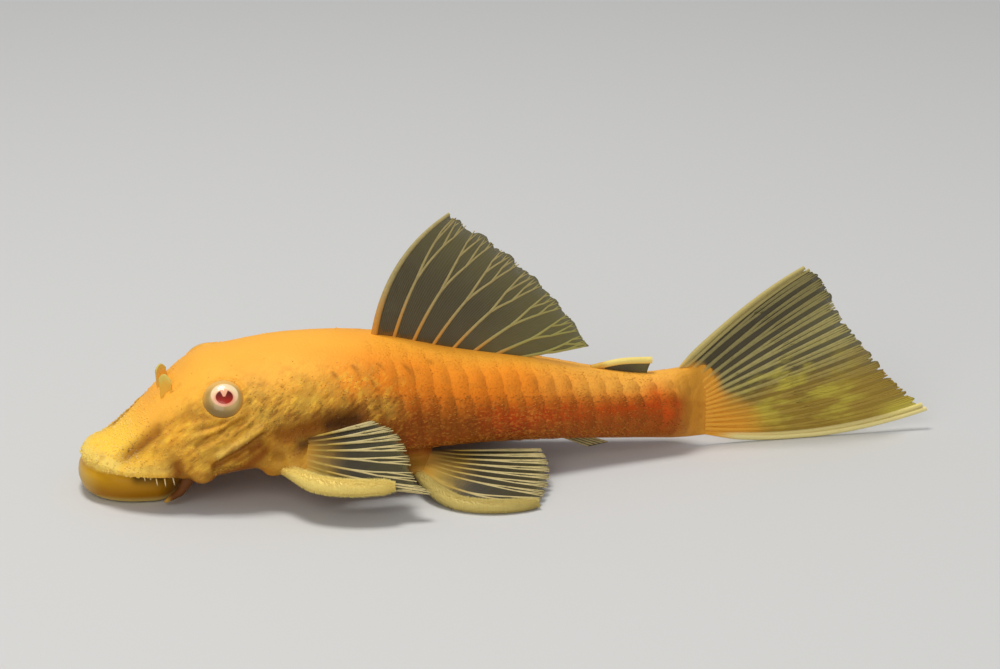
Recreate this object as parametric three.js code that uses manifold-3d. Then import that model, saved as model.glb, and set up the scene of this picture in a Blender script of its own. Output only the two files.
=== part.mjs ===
// A bristlenose pleco at life size, resting on its mouth disc, its pelvic fins and the lower edge
// of its tail fin.
// Millimetres, +X towards the tail and +Z up; the fish's left side is -Y, and the floor is z = 0.
import * as THREE from 'three';
import { mergeVertices } from 'three/addons/utils/BufferGeometryUtils.js';
import Module from 'manifold-3d';

const wasm = await Module();
wasm.setup();

// Driving dimensions. Distances called s run back along the body from the front of the lips.
const totalLength = 114;
const bodyLength = 84.5; // lips to the root of the tail fin
const headLength = 27; // lips to the back of the gill cover
const trunkEnd = 59; // where the trunk passes into the tail stem
const gap = 0.3; // clearance between pieces that touch
const bladeThickness = 0.56; // fin membranes
const snoutX = -totalLength / 2;

// The snout is rounded in plan: its half width grows as an ellipse quadrant this long.
const snoutRounding = 15.4;
const snoutTip = 0.6; // the lips reach this much further forward
const sectionSides = 28;
const mouthDiscSides = 32;
const upperRoundness = 2.15; // exponents of the superellipse above and below the widest level
const lowerRoundness = 2.3;

const stations = [
  { s: 0.6, halfWidth: 12.2, top: 5.7, belly: 4.2, widest: 4.8 },
  { s: 1.6, halfWidth: 12.2, top: 6.2, belly: 4.0, widest: 4.9 },
  { s: 2.8, halfWidth: 12.2, top: 6.4, belly: 3.8, widest: 5.0 },
  { s: 4.2, halfWidth: 12.2, top: 6.6, belly: 3.6, widest: 5.0 },
  { s: 5.8, halfWidth: 12.2, top: 7.8, belly: 3.4, widest: 5.2 },
  { s: 8.5, halfWidth: 12.2, top: 10.5, belly: 3.2, widest: 5.6 },
  { s: 12.5, halfWidth: 12.2, top: 14.6, belly: 2.8, widest: 6.0 },
  { s: 16, halfWidth: 12.3, top: 17.2, belly: 3.0, widest: 6.5 },
  { s: 21, halfWidth: 12.8, top: 18.2, belly: 4.1, widest: 6.9 },
  { s: 28, halfWidth: 12.7, top: 19.0, belly: 4.4, widest: 7.0 },
  { s: 38, halfWidth: 11.1, top: 18.7, belly: 4.7, widest: 6.8 },
  { s: 49, halfWidth: 9.2, top: 16.1, belly: 4.6, widest: 6.8 },
  { s: 60, halfWidth: 6.9, top: 13.9, belly: 3.5, widest: 6.7 },
  { s: 68, halfWidth: 5.1, top: 12.0, belly: 2.5, widest: 6.5 },
  { s: 75, halfWidth: 3.8, top: 10.8, belly: 1.8, widest: 6.2 },
  { s: 80, halfWidth: 2.9, top: 11.2, belly: 1.3, widest: 6.0 },
  { s: 84.5, halfWidth: 2.1, top: 11.6, belly: 1.1, widest: 5.9 },
];

const headStart = snoutTip + 0.25; // first ring of the head, just behind the tip of the snout
const headCrowding = 1.5; // how strongly the head's rings gather towards the snout
const rings = { head: 13, trunk: 12, tailStem: 10, cutter: 24 };

const mouthDisc = {
  widestAt: 9.0,
  front: 9.1,
  back: 4.2,
  halfWidth: 7.8,
  height: 5.5,
  cupDepth: 1.1,
  frontSquareness: 2.4, // exponent of its outline in plan ahead of the widest place
};
const eye = { s: 17.8, radius: 2.65, sunk: 1.75, height: 14.3 };
const nostril = {
  s: 11.4,
  offset: 2.1,
  height: 2.1,
  width: 1.6,
  rootDepth: 1,
  slant: Math.PI / 3, // turn of the flap from straight across the head
  lean: 0.2,
  cup: 0.5,
  rounding: 0.35, // share of the height lost at the flap's edges
};
const gillCover = {
  s: 20.4,
  height: 7.9,
  halfLength: 4.4,
  halfHeight: 2.6,
  tilt: 0.3,
  inner: 9.4,
  outer: 16,
};
const feelerPath = [[13.2, 9.0, 4.2], [12.1, 8.9, 2.3], [10.1, 8.1, 0.75]];
const feelerRadius = { root: 1.15, tip: 0.28 };

// Midline fins. A margin's points are s and z, and a bow's are forward of the ray and up.
const dorsal = {
  rootStart: 38.5,
  rootStep: 2.45,
  rootDepth: 1.2,
  rayCount: 7,
  margin: [[48.6, 34.0], [61.4, 25.9], [67.4, 14.4]],
  bow: [-3.6, 2.9],
  softBow: 0.48, // the soft rays bow less than the spine, and the last of them not at all
  spine: { root: 0.75, tip: 0.35 },
};
const adipose = {
  rootStart: 69.0,
  rootLength: 5.8,
  rootDepth: 0.8,
  rayCount: 4,
  tipBack: 0.8,
  tipHeight: [12.6, 12.4],
  bow: [-0.2, 0.1],
  spinePath: [[67.4, 11.9], [71.5, 12.5], [75.6, 12.4]],
  spine: { root: 0.5, tip: 0.4 },
};
const anal = {
  rootStart: 59.8,
  rootLength: 3.4,
  rootDepth: 0.8,
  rayCount: 4,
  tips: [[67.2, 1.0], [69.8, 1.4]],
  bow: [0.2, -0.2],
  spine: { root: 0.5, tip: 0.3 },
};
const tail = {
  rayCount: 15,
  rootStart: 78.6,
  rootReach: 4.4, // the middle rays start this much further back than the edge ray
  rootHeight: [10.3, 1.6],
  margin: [[96.2, 23.8], [98.6, 22.3], [101.6, 16.8], [106.0, 11.0], [110.6, 6.0], [113.8, 2.9]],
  bows: [[1.3, 3.0], [-0.2, -3.7]],
  ripple: 0.5,
  edge: { root: 0.62, tip: 0.32 },
};

// Paired fins. Points are s, distance from the midline and height.
const pectoral = {
  root: [22.0, 9.4, 6.1],
  spine: [[25.3, 13.4, 5.5], [28.2, 17.3, 5.0], [32.2, 19.3, 4.9], [37.6, 19.9, 4.9]],
  margin: [
    [42.8, 20.2, 3.4],
    [40.8, 18.0, 4.7],
    [40.5, 14.8, 6.6],
    [40.0, 13.1, 8.2],
    [38.8, 12.5, 9.7],
    [36.2, 12.1, 11.0],
  ],
  rayCount: 6,
  rayRoots: [[25.6, 13.0, 5.6], [27.8, 11.6, 9.2]],
  bows: [[-1.8, 2.2, 0], [0, 0.7, 0]],
  radius: { least: 0.8, swell: 0.45, start: 0.15, reach: 0.75 },
};
const pelvic = {
  root: [41.0, 5.0, 5.3],
  spine: [[42.4, 10.2, 2.9], [44.3, 14.7, 1.5], [47.4, 17.8, 0.75], [51.5, 19.1, 0.7], [56.2, 18.5, 0.7]],
  margin: [
    [57.4, 16.8, 0.9],
    [58.8, 13.6, 1.5],
    [59.5, 11.0, 2.2],
    [59.6, 8.8, 3.0],
    [59.2, 7.2, 3.8],
  ],
  rayCount: 5,
  rayRoots: [[42.4, 10.2, 3.0], [43.8, 7.4, 4.8]],
  bows: [[-1.8, 2.6, 0.1], [0, 0.7, 0.1]],
  radius: { least: 0.7, swell: 0.35, start: 0.1, reach: 0.8 },
};

const at = (s, y, z) => new THREE.Vector3(snoutX + s, y, z);
const between = (from, to, share) => from.map((value, i) => value + (to[i] - value) * share);

function smoothStation(key, s) {
  const last = stations.length - 1;
  let i = 0;
  while (i < last - 1 && s > stations[i + 1].s) i += 1;
  const slope = (k) => {
    const low = stations[Math.max(k - 1, 0)];
    const high = stations[Math.min(k + 1, last)];
    return (high[key] - low[key]) / (high.s - low.s);
  };
  const a = stations[i];
  const b = stations[i + 1];
  const span = b.s - a.s;
  const t = THREE.MathUtils.clamp((s - a.s) / span, 0, 1);
  const t2 = t * t;
  const t3 = t2 * t;
  const start = (2 * t3 - 3 * t2 + 1) * a[key] + (t3 - 2 * t2 + t) * span * slope(i);
  const end = (3 * t2 - 2 * t3) * b[key] + (t3 - t2) * span * slope(i + 1);
  return start + end;
}

function section(s) {
  const nose = THREE.MathUtils.clamp((s - snoutTip) / snoutRounding, 0, 1);
  return {
    halfWidth: smoothStation('halfWidth', s) * Math.sqrt(1 - (1 - nose) ** 2),
    top: smoothStation('top', s),
    belly: smoothStation('belly', s),
    widest: smoothStation('widest', s),
  };
}

// One closed ring of points round the body, pushed out by grow.
function bodyRing(s, grow = 0) {
  const { halfWidth, top, belly, widest } = section(s);
  const ring = [];
  for (let i = 0; i < sectionSides; i += 1) {
    const turn = (2 * Math.PI * i) / sectionSides;
    const upper = Math.sin(turn) >= 0;
    const power = 2 / (upper ? upperRoundness : lowerRoundness);
    const across = Math.sign(Math.cos(turn)) * Math.abs(Math.cos(turn)) ** power;
    const rise = Math.abs(Math.sin(turn)) ** power;
    const z = upper ? widest + (top - widest + grow) * rise : widest - (widest - belly + grow) * rise;
    ring.push(at(s, (halfWidth + grow) * across, z));
  }
  return ring;
}

// Skins a stack of rings with the same number of points. Each end is closed by a cap, a list of triangles
// given as places in the ring.
function loft(stack, cap) {
  const sides = stack[0].length;
  const faces = [];
  for (let r = 0; r < stack.length - 1; r += 1) {
    for (let i = 0; i < sides; i += 1) {
      const j = (i + 1) % sides;
      const a = r * sides;
      const b = a + sides;
      faces.push(a + i, a + j, b + j, a + i, b + j, b + i);
    }
  }
  const end = (stack.length - 1) * sides;
  for (const [a, b, c] of cap) {
    faces.push(a, c, b, end + a, end + b, end + c);
  }
  return facingOut(stack.flat(), faces);
}

// Cap of a round ring, fanned from its first point.
function roundCap(sides) {
  const cap = [];
  for (let i = 1; i < sides - 1; i += 1) cap.push([0, i, i + 1]);
  return cap;
}

// Cap of a ring that runs up one face of a blade and back down the other.
function bladeCap(sides) {
  const cap = [];
  for (let i = 0; i < sides / 2 - 1; i += 1) {
    const j = sides - 1 - i;
    cap.push([i, i + 1, j - 1], [i, j - 1, j]);
  }
  return cap;
}

function facingOut(points, faces) {
  let volume = 0;
  for (let i = 0; i < faces.length; i += 3) {
    const [a, b, c] = [points[faces[i]], points[faces[i + 1]], points[faces[i + 2]]];
    volume += a.dot(b.clone().cross(c));
  }
  const geometry = new THREE.BufferGeometry().setFromPoints(points);
  geometry.setIndex(volume > 0 ? faces : faces.reverse());
  return geometry;
}

// A tapering horn or fin spine along a curve.
function horn(curve, radiusAt, steps, sides) {
  const { normals, binormals } = curve.computeFrenetFrames(steps, false);
  const stack = [];
  for (let k = 0; k <= steps; k += 1) {
    const centre = curve.getPointAt(k / steps);
    const ring = [];
    for (let i = 0; i < sides; i += 1) {
      const turn = (2 * Math.PI * i) / sides;
      const point = centre.clone();
      point.addScaledVector(normals[k], radiusAt(k / steps) * Math.cos(turn));
      point.addScaledVector(binormals[k], radiusAt(k / steps) * Math.sin(turn));
      ring.push(point);
    }
    stack.push(ring);
  }
  return loft(stack, roundCap(sides));
}

// A membrane of even thickness spread over rays, each a curve from its root to its tip.
function membrane(rays, steps) {
  const grid = rays.map((ray) => ray.getPoints(steps));
  const stack = grid.map((points, i) => {
    const before = grid[Math.max(i - 1, 0)];
    const after = grid[Math.min(i + 1, grid.length - 1)];
    const sides = [[], []];
    points.forEach((point, k) => {
      const along = points[Math.min(k + 1, steps)].clone().sub(points[Math.max(k - 1, 0)]);
      const across = after[k].clone().sub(before[k]);
      const lift = along.cross(across).setLength(bladeThickness / 2);
      sides[0].push(point.clone().add(lift));
      sides[1].unshift(point.clone().sub(lift));
    });
    return sides.flat();
  });
  return loft(stack, bladeCap(2 * (steps + 1)));
}

const curveThrough = (...points) => new THREE.CatmullRomCurve3(points, false, 'centripetal');

// A ray that leaves its root and bows sideways by a share of its length on the way to its tip.
function bowedRay(root, tip, bow) {
  const middle = root.clone().lerp(tip, 0.5).add(bow);
  return new THREE.QuadraticBezierCurve3(root, middle, tip);
}

function solid(geometry) {
  const bare = geometry.clone();
  bare.deleteAttribute('normal');
  bare.deleteAttribute('uv');
  const merged = mergeVertices(bare, 1e-4);
  return new wasm.Manifold(new wasm.Mesh({
    numProp: 3,
    vertProperties: new Float32Array(merged.attributes.position.array),
    triVerts: new Uint32Array(merged.index.array),
  }));
}

function geometryOf(manifold) {
  const mesh = manifold.getMesh();
  const geometry = new THREE.BufferGeometry();
  geometry.setAttribute('position', new THREE.BufferAttribute(new Float32Array(mesh.vertProperties), 3));
  geometry.setIndex(new THREE.BufferAttribute(new Uint32Array(mesh.triVerts), 1));
  return geometry;
}

function bodyPiece(from, to, ringCount, grow = 0) {
  const stack = [];
  for (let k = 0; k <= ringCount; k += 1) {
    stack.push(bodyRing(from + ((to - from) * k) / ringCount, grow));
  }
  return loft(stack, roundCap(sectionSides));
}

// The head's rings crowd together towards the tip of the snout, where it rounds off.
function headPiece(grow = 0) {
  const stack = [];
  for (let k = 0; k <= rings.head; k += 1) {
    const share = k / rings.head;
    const back = (headLength - headStart) * share ** headCrowding;
    stack.push(bodyRing(headStart - grow * (1 - share) + back, grow));
  }
  return loft(stack, roundCap(sectionSides));
}

const floorDepth = 10;
const floorCutter = new THREE.BoxGeometry(2 * totalLength, totalLength, floorDepth);
const belowFloor = solid(floorCutter.translate(0, 0, -floorDepth / 2));

const headGrown = solid(headPiece(gap));
const trunkGrown = solid(bodyPiece(headLength - 2 * gap, bodyLength + gap, rings.cutter, gap));
const bodyGrown = headGrown.add(trunkGrown);

// Side is -1 for the fish's left and 1 for its right.
function surfaceAt(s, z, side) {
  const { halfWidth, top, widest } = section(s);
  const rise = (z - widest) / (top - widest);
  return at(s, side * halfWidth * (1 - rise ** upperRoundness) ** (1 / upperRoundness), z);
}

function eyeCentre(side) {
  const { halfWidth, top, widest } = section(eye.s);
  const point = surfaceAt(eye.s, eye.height, side);
  const power = upperRoundness - 1;
  const outward = new THREE.Vector3(
    0,
    side * (Math.abs(point.y) / halfWidth) ** power / halfWidth,
    ((eye.height - widest) / (top - widest)) ** power / (top - widest),
  ).normalize();
  return point.addScaledVector(outward, -eye.sunk);
}

function eyeball(side, radius) {
  const centre = eyeCentre(side);
  return new THREE.SphereGeometry(radius, 16, 11).translate(centre.x, centre.y, centre.z);
}

function gillCoverBlock(side, grow = 0) {
  const halfLength = gillCover.halfLength + grow;
  const halfHeight = gillCover.halfHeight + grow;
  const outline = new THREE.Shape();
  outline.absellipse(0, 0, halfLength, halfHeight, 0, 2 * Math.PI, false, 0);
  const depth = gillCover.outer - gillCover.inner + 2 * grow;
  const block = new THREE.ExtrudeGeometry(outline, { depth, bevelEnabled: false, curveSegments: 10 });
  block.rotateZ(gillCover.tilt);
  block.rotateX(Math.PI / 2); // the extrusion now runs along -Y
  const start = side < 0 ? -gillCover.inner + grow : gillCover.outer + grow;
  block.translate(snoutX + gillCover.s, start, gillCover.height);
  return block;
}

// A small upright flap between the nostrils, rounded at the top, its outer edge slanting back.
function nostrilFlap(side) {
  const rays = [-1, -0.5, 0, 0.5, 1].map((share) => {
    const reach = (nostril.width / 2) * share;
    const y = side * (nostril.offset + reach * Math.cos(nostril.slant));
    const s = nostril.s + reach * Math.sin(nostril.slant);
    const root = at(s, y, section(s).top - nostril.rootDepth);
    const rise = nostril.height * (1 - nostril.rounding * share * share);
    const tip = at(s - nostril.lean, y, section(nostril.s).top + rise);
    return bowedRay(root, tip, new THREE.Vector3(0, side * nostril.cup, 0));
  });
  return membrane(rays, 4);
}

function barbel(side) {
  const path = curveThrough(...feelerPath.map(([s, y, z]) => at(s, side * y, z)));
  return horn(path, taper(feelerRadius), 5, 7);
}

// Rounded rim that stands on the floor round a shallow sucking cup, widest at the corners of the mouth.
function mouthDiscBlank() {
  const { widestAt, front, back, halfWidth, height, cupDepth, frontSquareness } = mouthDisc;
  const profile = [
    [0.45, cupDepth],
    [0.6, 0],
    [0.74, 0],
    [0.86, 0.35],
    [0.96, 1.1],
    [1, 2.2],
    [0.98, 3.4],
    [0.9, 4.6],
    [0.8, height],
  ];
  const stack = profile.map(([share, z]) => {
    const ring = [];
    for (let i = 0; i < mouthDiscSides; i += 1) {
      const turn = (2 * Math.PI * i) / mouthDiscSides;
      const ahead = Math.cos(turn) < 0;
      const power = ahead ? 2 / frontSquareness : 1;
      const along = Math.sign(Math.cos(turn)) * Math.abs(Math.cos(turn)) ** power;
      const across = Math.sign(Math.sin(turn)) * Math.abs(Math.sin(turn)) ** power;
      ring.push(at(widestAt + (ahead ? front : back) * share * along, halfWidth * share * across, z));
    }
    return ring;
  });
  return loft(stack, roundCap(mouthDiscSides));
}

const taper = ({ root, tip }) => (t) => root + (tip - root) * t;
const midline = ([s, z]) => at(s, 0, z);

// Dorsal fin: one stout spine and seven soft rays, raised, on the midline.
function dorsalFin() {
  const margin = new THREE.QuadraticBezierCurve3(...dorsal.margin.map(midline));
  const rays = [];
  for (let i = 0; i <= dorsal.rayCount; i += 1) {
    const share = i / dorsal.rayCount;
    const s = dorsal.rootStart + dorsal.rootStep * i;
    const bow = new THREE.Vector3(dorsal.bow[0], 0, dorsal.bow[1]);
    if (i > 0) bow.multiplyScalar(dorsal.softBow * (1 - share));
    rays.push(bowedRay(at(s, 0, section(s).top - dorsal.rootDepth), margin.getPoint(share), bow));
  }
  const spine = horn(rays[0], taper(dorsal.spine), 10, 8);
  return solid(membrane(rays, 9)).add(solid(spine)).subtract(bodyGrown);
}

// Adipose fin: a short flat-lying spine with a strip of membrane behind it.
function adiposeFin() {
  const rays = [];
  for (let i = 0; i <= adipose.rayCount; i += 1) {
    const share = i / adipose.rayCount;
    const s = adipose.rootStart + adipose.rootLength * share;
    const [from, to] = adipose.tipHeight;
    const tip = at(s + adipose.tipBack, 0, from + (to - from) * share);
    const bow = new THREE.Vector3(adipose.bow[0], 0, adipose.bow[1]);
    rays.push(bowedRay(at(s, 0, section(s).top - adipose.rootDepth), tip, bow));
  }
  const path = curveThrough(...adipose.spinePath.map(midline));
  const spine = horn(path, taper(adipose.spine), 8, 8);
  return solid(membrane(rays, 4)).add(solid(spine)).subtract(bodyGrown);
}

// Anal fin: one spine and four rays, folded back under the tail stem.
function analFin() {
  const rays = [];
  for (let i = 0; i <= anal.rayCount; i += 1) {
    const share = i / anal.rayCount;
    const s = anal.rootStart + anal.rootLength * share;
    const tip = midline(between(...anal.tips, share));
    const bow = new THREE.Vector3(anal.bow[0], 0, anal.bow[1]);
    rays.push(bowedRay(at(s, 0, section(s).belly + anal.rootDepth), tip, bow));
  }
  const spine = horn(rays[0], taper(anal.spine), 8, 8);
  return solid(membrane(rays, 6)).add(solid(spine)).subtract(bodyGrown).subtract(belowFloor);
}

// Tail fin: fourteen rays between two stout edge spines, the lower lobe longer, its foot on the floor.
function tailFin() {
  const margin = curveThrough(...tail.margin.map(midline));
  const rays = [];
  for (let i = 0; i <= tail.rayCount; i += 1) {
    const share = i / tail.rayCount;
    const reach = tail.rootReach * Math.sin(0.5 * Math.PI * Math.min(1, 3 * share));
    const [high, low] = tail.rootHeight;
    const root = at(tail.rootStart + reach, 0, high + (low - high) * share);
    const tip = margin.getPointAt(share);
    tip.y = tail.ripple * Math.sin(3 * Math.PI * share);
    const [bowX, bowZ] = between(...tail.bows, share);
    rays.push(bowedRay(root, tip, new THREE.Vector3(bowX, 0, bowZ)));
  }
  const upperEdge = horn(rays[0], taper(tail.edge), 9, 8);
  const lowerEdge = horn(rays[tail.rayCount], taper(tail.edge), 9, 8);
  const fan = solid(membrane(rays, 7)).add(solid(upperEdge)).add(solid(lowerEdge));
  return fan.subtract(bodyGrown).subtract(belowFloor);
}

// Pectoral or pelvic fin: a thick bristly spine with a fan of soft rays behind it. The pectoral's spine
// is held clear of the floor, and the pelvic's rests on it.
function pairedFin(fin, side) {
  const beside = ([s, y, z]) => at(s, side * y, z);
  const spinePoints = fin.spine.map(beside);
  const margin = curveThrough(...fin.margin.map(beside));
  const rays = [curveThrough(...spinePoints)];
  for (let i = 1; i <= fin.rayCount; i += 1) {
    const share = i / fin.rayCount;
    const root = beside(between(...fin.rayRoots, share));
    const tip = margin.getPoint((i - 1) / (fin.rayCount - 1));
    const [bowX, bowY, bowZ] = between(...fin.bows, share);
    rays.push(bowedRay(root, tip, new THREE.Vector3(bowX, side * bowY, bowZ)));
  }
  const { least, swell, start, reach } = fin.radius;
  const radiusAt = (t) => least + swell * Math.sin(Math.PI * Math.min(1, start + reach * t));
  const spine = horn(curveThrough(beside(fin.root), ...spinePoints), radiusAt, 12, 9);
  return solid(membrane(rays, 7)).add(solid(spine)).subtract(bodyGrown).subtract(belowFloor);
}

const fish = new THREE.Group();

function addPiece(name, geometry, color, roughness) {
  const material = new THREE.MeshStandardMaterial({ color, roughness, metalness: 0 });
  const mesh = new THREE.Mesh(geometry, material);
  mesh.name = name;
  fish.add(mesh);
}

const sides = [['left', -1], ['right', 1]];

let head = solid(headPiece());
for (const [, side] of sides) {
  head = head.subtract(solid(eyeball(side, eye.radius + gap)));
  head = head.subtract(solid(gillCoverBlock(side, gap)));
}
addPiece('head', geometryOf(head), 0xf4b24c, 0.55);
addPiece('trunk', bodyPiece(headLength + gap, trunkEnd, rings.trunk), 0xe89038, 0.55);
addPiece('tail_stem', bodyPiece(trunkEnd + gap, bodyLength, rings.tailStem), 0xd2762a, 0.55);
addPiece('mouth_disc', geometryOf(solid(mouthDiscBlank()).subtract(headGrown)), 0xc8862a, 0.4);

for (const [word, side] of sides) {
  const cover = solid(headPiece()).intersect(solid(gillCoverBlock(side)));
  const flap = solid(nostrilFlap(side)).subtract(headGrown);
  const feeler = solid(barbel(side)).subtract(headGrown);
  addPiece(`gill_cover_${word}`, geometryOf(cover), 0xd9953c, 0.55);
  addPiece(`eye_${word}`, eyeball(side, eye.radius), 0xcba260, 0.15);
  addPiece(`nostril_flap_${word}`, geometryOf(flap), 0xe8c060, 0.5);
  addPiece(`barbel_${word}`, geometryOf(feeler), 0xdcb45a, 0.5);
  addPiece(`pectoral_fin_${word}`, geometryOf(pairedFin(pectoral, side)), 0xdfc26b, 0.5);
  addPiece(`pelvic_fin_${word}`, geometryOf(pairedFin(pelvic, side)), 0xc4b067, 0.5);
}

addPiece('dorsal_fin', geometryOf(dorsalFin()), 0x9a8450, 0.45);
addPiece('adipose_fin', geometryOf(adiposeFin()), 0xd9c878, 0.5);
addPiece('anal_fin', geometryOf(analFin()), 0xc4b067, 0.5);
addPiece('tail_fin', geometryOf(tailFin()), 0xb0a050, 0.45);

export default fish;
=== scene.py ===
import math

import bpy
import numpy as np
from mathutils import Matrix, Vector


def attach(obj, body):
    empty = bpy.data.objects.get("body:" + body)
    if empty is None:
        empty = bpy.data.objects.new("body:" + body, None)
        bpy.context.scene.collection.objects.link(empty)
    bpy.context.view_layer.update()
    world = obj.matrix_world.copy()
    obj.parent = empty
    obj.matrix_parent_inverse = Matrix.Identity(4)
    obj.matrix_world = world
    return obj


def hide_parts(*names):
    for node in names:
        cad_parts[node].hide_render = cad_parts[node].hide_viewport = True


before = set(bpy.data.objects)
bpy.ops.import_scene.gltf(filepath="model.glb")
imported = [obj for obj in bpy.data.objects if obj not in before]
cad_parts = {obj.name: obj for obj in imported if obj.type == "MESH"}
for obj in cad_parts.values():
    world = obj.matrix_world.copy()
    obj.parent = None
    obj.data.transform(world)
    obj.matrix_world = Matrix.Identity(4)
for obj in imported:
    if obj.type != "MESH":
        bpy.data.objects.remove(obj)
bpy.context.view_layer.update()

# Sizes are in millimetres. s runs back along the body from the tip of the snout, y is the distance
# from the middle plane (the fish's left is the minus side) and z is the height above the floor.
mm = 0.001
snoutX = -57.0
chance = np.random.default_rng(11)


# small tools
def deselectAll():
    bpy.ops.object.select_all(action='DESELECT')


def makeActive(piece):
    deselectAll()
    piece.select_set(True)
    bpy.context.view_layer.objects.active = piece


def placed(s, y, z):
    return np.stack(np.broadcast_arrays(snoutX + s, y, z), -1).astype(float)


def unit(v):
    return v / np.maximum(np.linalg.norm(v, axis=-1, keepdims=True), 1e-9)


def mixed(a, b, share):
    return a + (b - a) * share


def eased(x, low, high):
    t = np.clip((x - low) / (high - low), 0, 1)
    return t * t * (3 - 2 * t)


def bump(x, centre, width):
    return np.exp(-((x - centre) / width) ** 2)


def shapedGrid(name, columns, rows, place):
    # a flat grid, each point of which is carried to its place on the real surface
    deselectAll()
    bpy.ops.mesh.primitive_grid_add(x_subdivisions=columns, y_subdivisions=rows, size=1)
    piece = bpy.context.object
    piece.name = piece.data.name = name
    flat = np.empty(len(piece.data.vertices) * 3)
    piece.data.vertices.foreach_get('co', flat)
    flat = flat.reshape(-1, 3) + 0.5
    piece.data.vertices.foreach_set('co', (place(flat[:, 0], flat[:, 1]) * mm).ravel())
    piece.data.update()
    return piece


def closeUp(piece, distance=1e-6):
    # merge seams and poles, fill what is open, and turn the faces outwards
    makeActive(piece)
    bpy.ops.object.mode_set(mode='EDIT')
    bpy.ops.mesh.select_all(action='SELECT')
    bpy.ops.mesh.remove_doubles(threshold=distance)
    bpy.ops.mesh.select_all(action='DESELECT')
    bpy.ops.mesh.select_non_manifold()
    bpy.ops.mesh.fill_holes(sides=0)
    bpy.ops.mesh.select_all(action='SELECT')
    bpy.ops.mesh.normals_make_consistent(inside=False)
    bpy.ops.object.mode_set(mode='OBJECT')
    return piece


def useModifier(piece, kind, **settings):
    makeActive(piece)
    modifier = piece.modifiers.new(kind.lower(), kind)
    for key, value in settings.items():
        setattr(modifier, key, value)
    bpy.ops.object.modifier_apply(modifier=modifier.name)
    return piece


def smoothShaded(piece):
    makeActive(piece)
    bpy.ops.object.shade_smooth()
    return piece


def joinAll(pieces, name):
    makeActive(pieces[0])
    for piece in pieces:
        piece.select_set(True)
    bpy.ops.object.join()
    pieces[0].name = pieces[0].data.name = name
    return pieces[0]


def joinedMesh(name, points, faces, bakeMap=None):
    mesh = bpy.data.meshes.new(name)
    mesh.from_pydata((points * mm).tolist(), [], [list(face) for face in faces])
    mesh.validate()
    piece = bpy.data.objects.new(name, mesh)
    bpy.context.scene.collection.objects.link(piece)
    if bakeMap is not None:
        corners = np.empty(len(mesh.loops), int)
        mesh.loops.foreach_get('vertex_index', corners)
        layer = mesh.uv_layers.new(name='OFBake')
        layer.data.foreach_set('uv', bakeMap[corners].ravel())
    return smoothShaded(piece)


def pointsOf(piece):
    flat = np.empty(len(piece.data.vertices) * 3)
    piece.data.vertices.foreach_get('co', flat)
    return flat.reshape(-1, 3) / mm


def normalsOf(piece):
    flat = np.empty(len(piece.data.vertices) * 3)
    piece.data.vertex_normals.foreach_get('vector', flat)
    return flat.reshape(-1, 3)


def movePoints(piece, points):
    piece.data.vertices.foreach_set('co', (points * mm).ravel())
    piece.data.update()


def mark(piece, name, values):
    layer = piece.data.attributes.get(name) or piece.data.attributes.new(name, 'FLOAT', 'POINT')
    layer.data.foreach_set('value', np.asarray(values, np.float32))


# the body's form, the same as the solids'
body = {
    's': [0.6, 1.6, 2.8, 4.2, 5.8, 8.5, 12.5, 16, 21, 28, 38, 49, 60, 68, 75, 80, 84.5],
    'halfWidth': [12.2] * 7 + [12.3, 12.8, 12.7, 11.1, 9.2, 6.9, 5.1, 3.8, 2.9, 2.1],
    'top': [5.7, 6.2, 6.4, 6.6, 7.8, 10.5, 14.6, 17.2, 18.2, 19.0, 18.7, 16.1, 13.9, 12.0, 10.8, 11.2, 11.6],
    'belly': [4.2, 4.0, 3.8, 3.6, 3.4, 3.2, 2.8, 3.0, 4.1, 4.4, 4.7, 4.6, 3.5, 2.5, 1.8, 1.3, 1.1],
    'widest': [4.8, 4.9, 5.0, 5.0, 5.2, 5.6, 6.0, 6.5, 6.9, 7.0, 6.8, 6.8, 6.7, 6.5, 6.2, 6.0, 5.9],
    'snoutTip': 0.6,
    'snoutRounding': 15.4,
    'upperRoundness': 2.15,
    'lowerRoundness': 2.3,
}


def alongBody(key, s):
    at, values = np.array(body['s'], float), np.array(body[key], float)
    last = len(at) - 1
    k = np.arange(last + 1)
    low, high = np.maximum(k - 1, 0), np.minimum(k + 1, last)
    slope = (values[high] - values[low]) / (at[high] - at[low])
    s = np.asarray(s, float)
    i = np.clip(np.searchsorted(at, s, side='right') - 1, 0, last - 1)
    span = at[i + 1] - at[i]
    t = np.clip((s - at[i]) / span, 0, 1)
    start = (2 * t**3 - 3 * t**2 + 1) * values[i] + (t**3 - 2 * t**2 + t) * span * slope[i]
    return start + (3 * t**2 - 2 * t**3) * values[i + 1] + (t**3 - t**2) * span * slope[i + 1]


def noseShare(s):
    nose = np.clip((s - body['snoutTip']) / body['snoutRounding'], 0, 1)
    return np.sqrt(1 - (1 - nose) ** 2)


def bodyPoint(s, turn, grow=0.0):
    wide = alongBody('halfWidth', s) * noseShare(s)
    top, belly, widest = (alongBody(key, s) for key in ('top', 'belly', 'widest'))
    upper = np.sin(turn) >= 0
    power = 2 / np.where(upper, body['upperRoundness'], body['lowerRoundness'])
    across = np.sign(np.cos(turn)) * np.abs(np.cos(turn)) ** power
    rise = np.abs(np.sin(turn)) ** power
    z = np.where(upper, widest + (top - widest + grow) * rise, widest - (widest - belly + grow) * rise)
    return placed(s, np.maximum(wide + grow, 0.05) * across, z)


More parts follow.
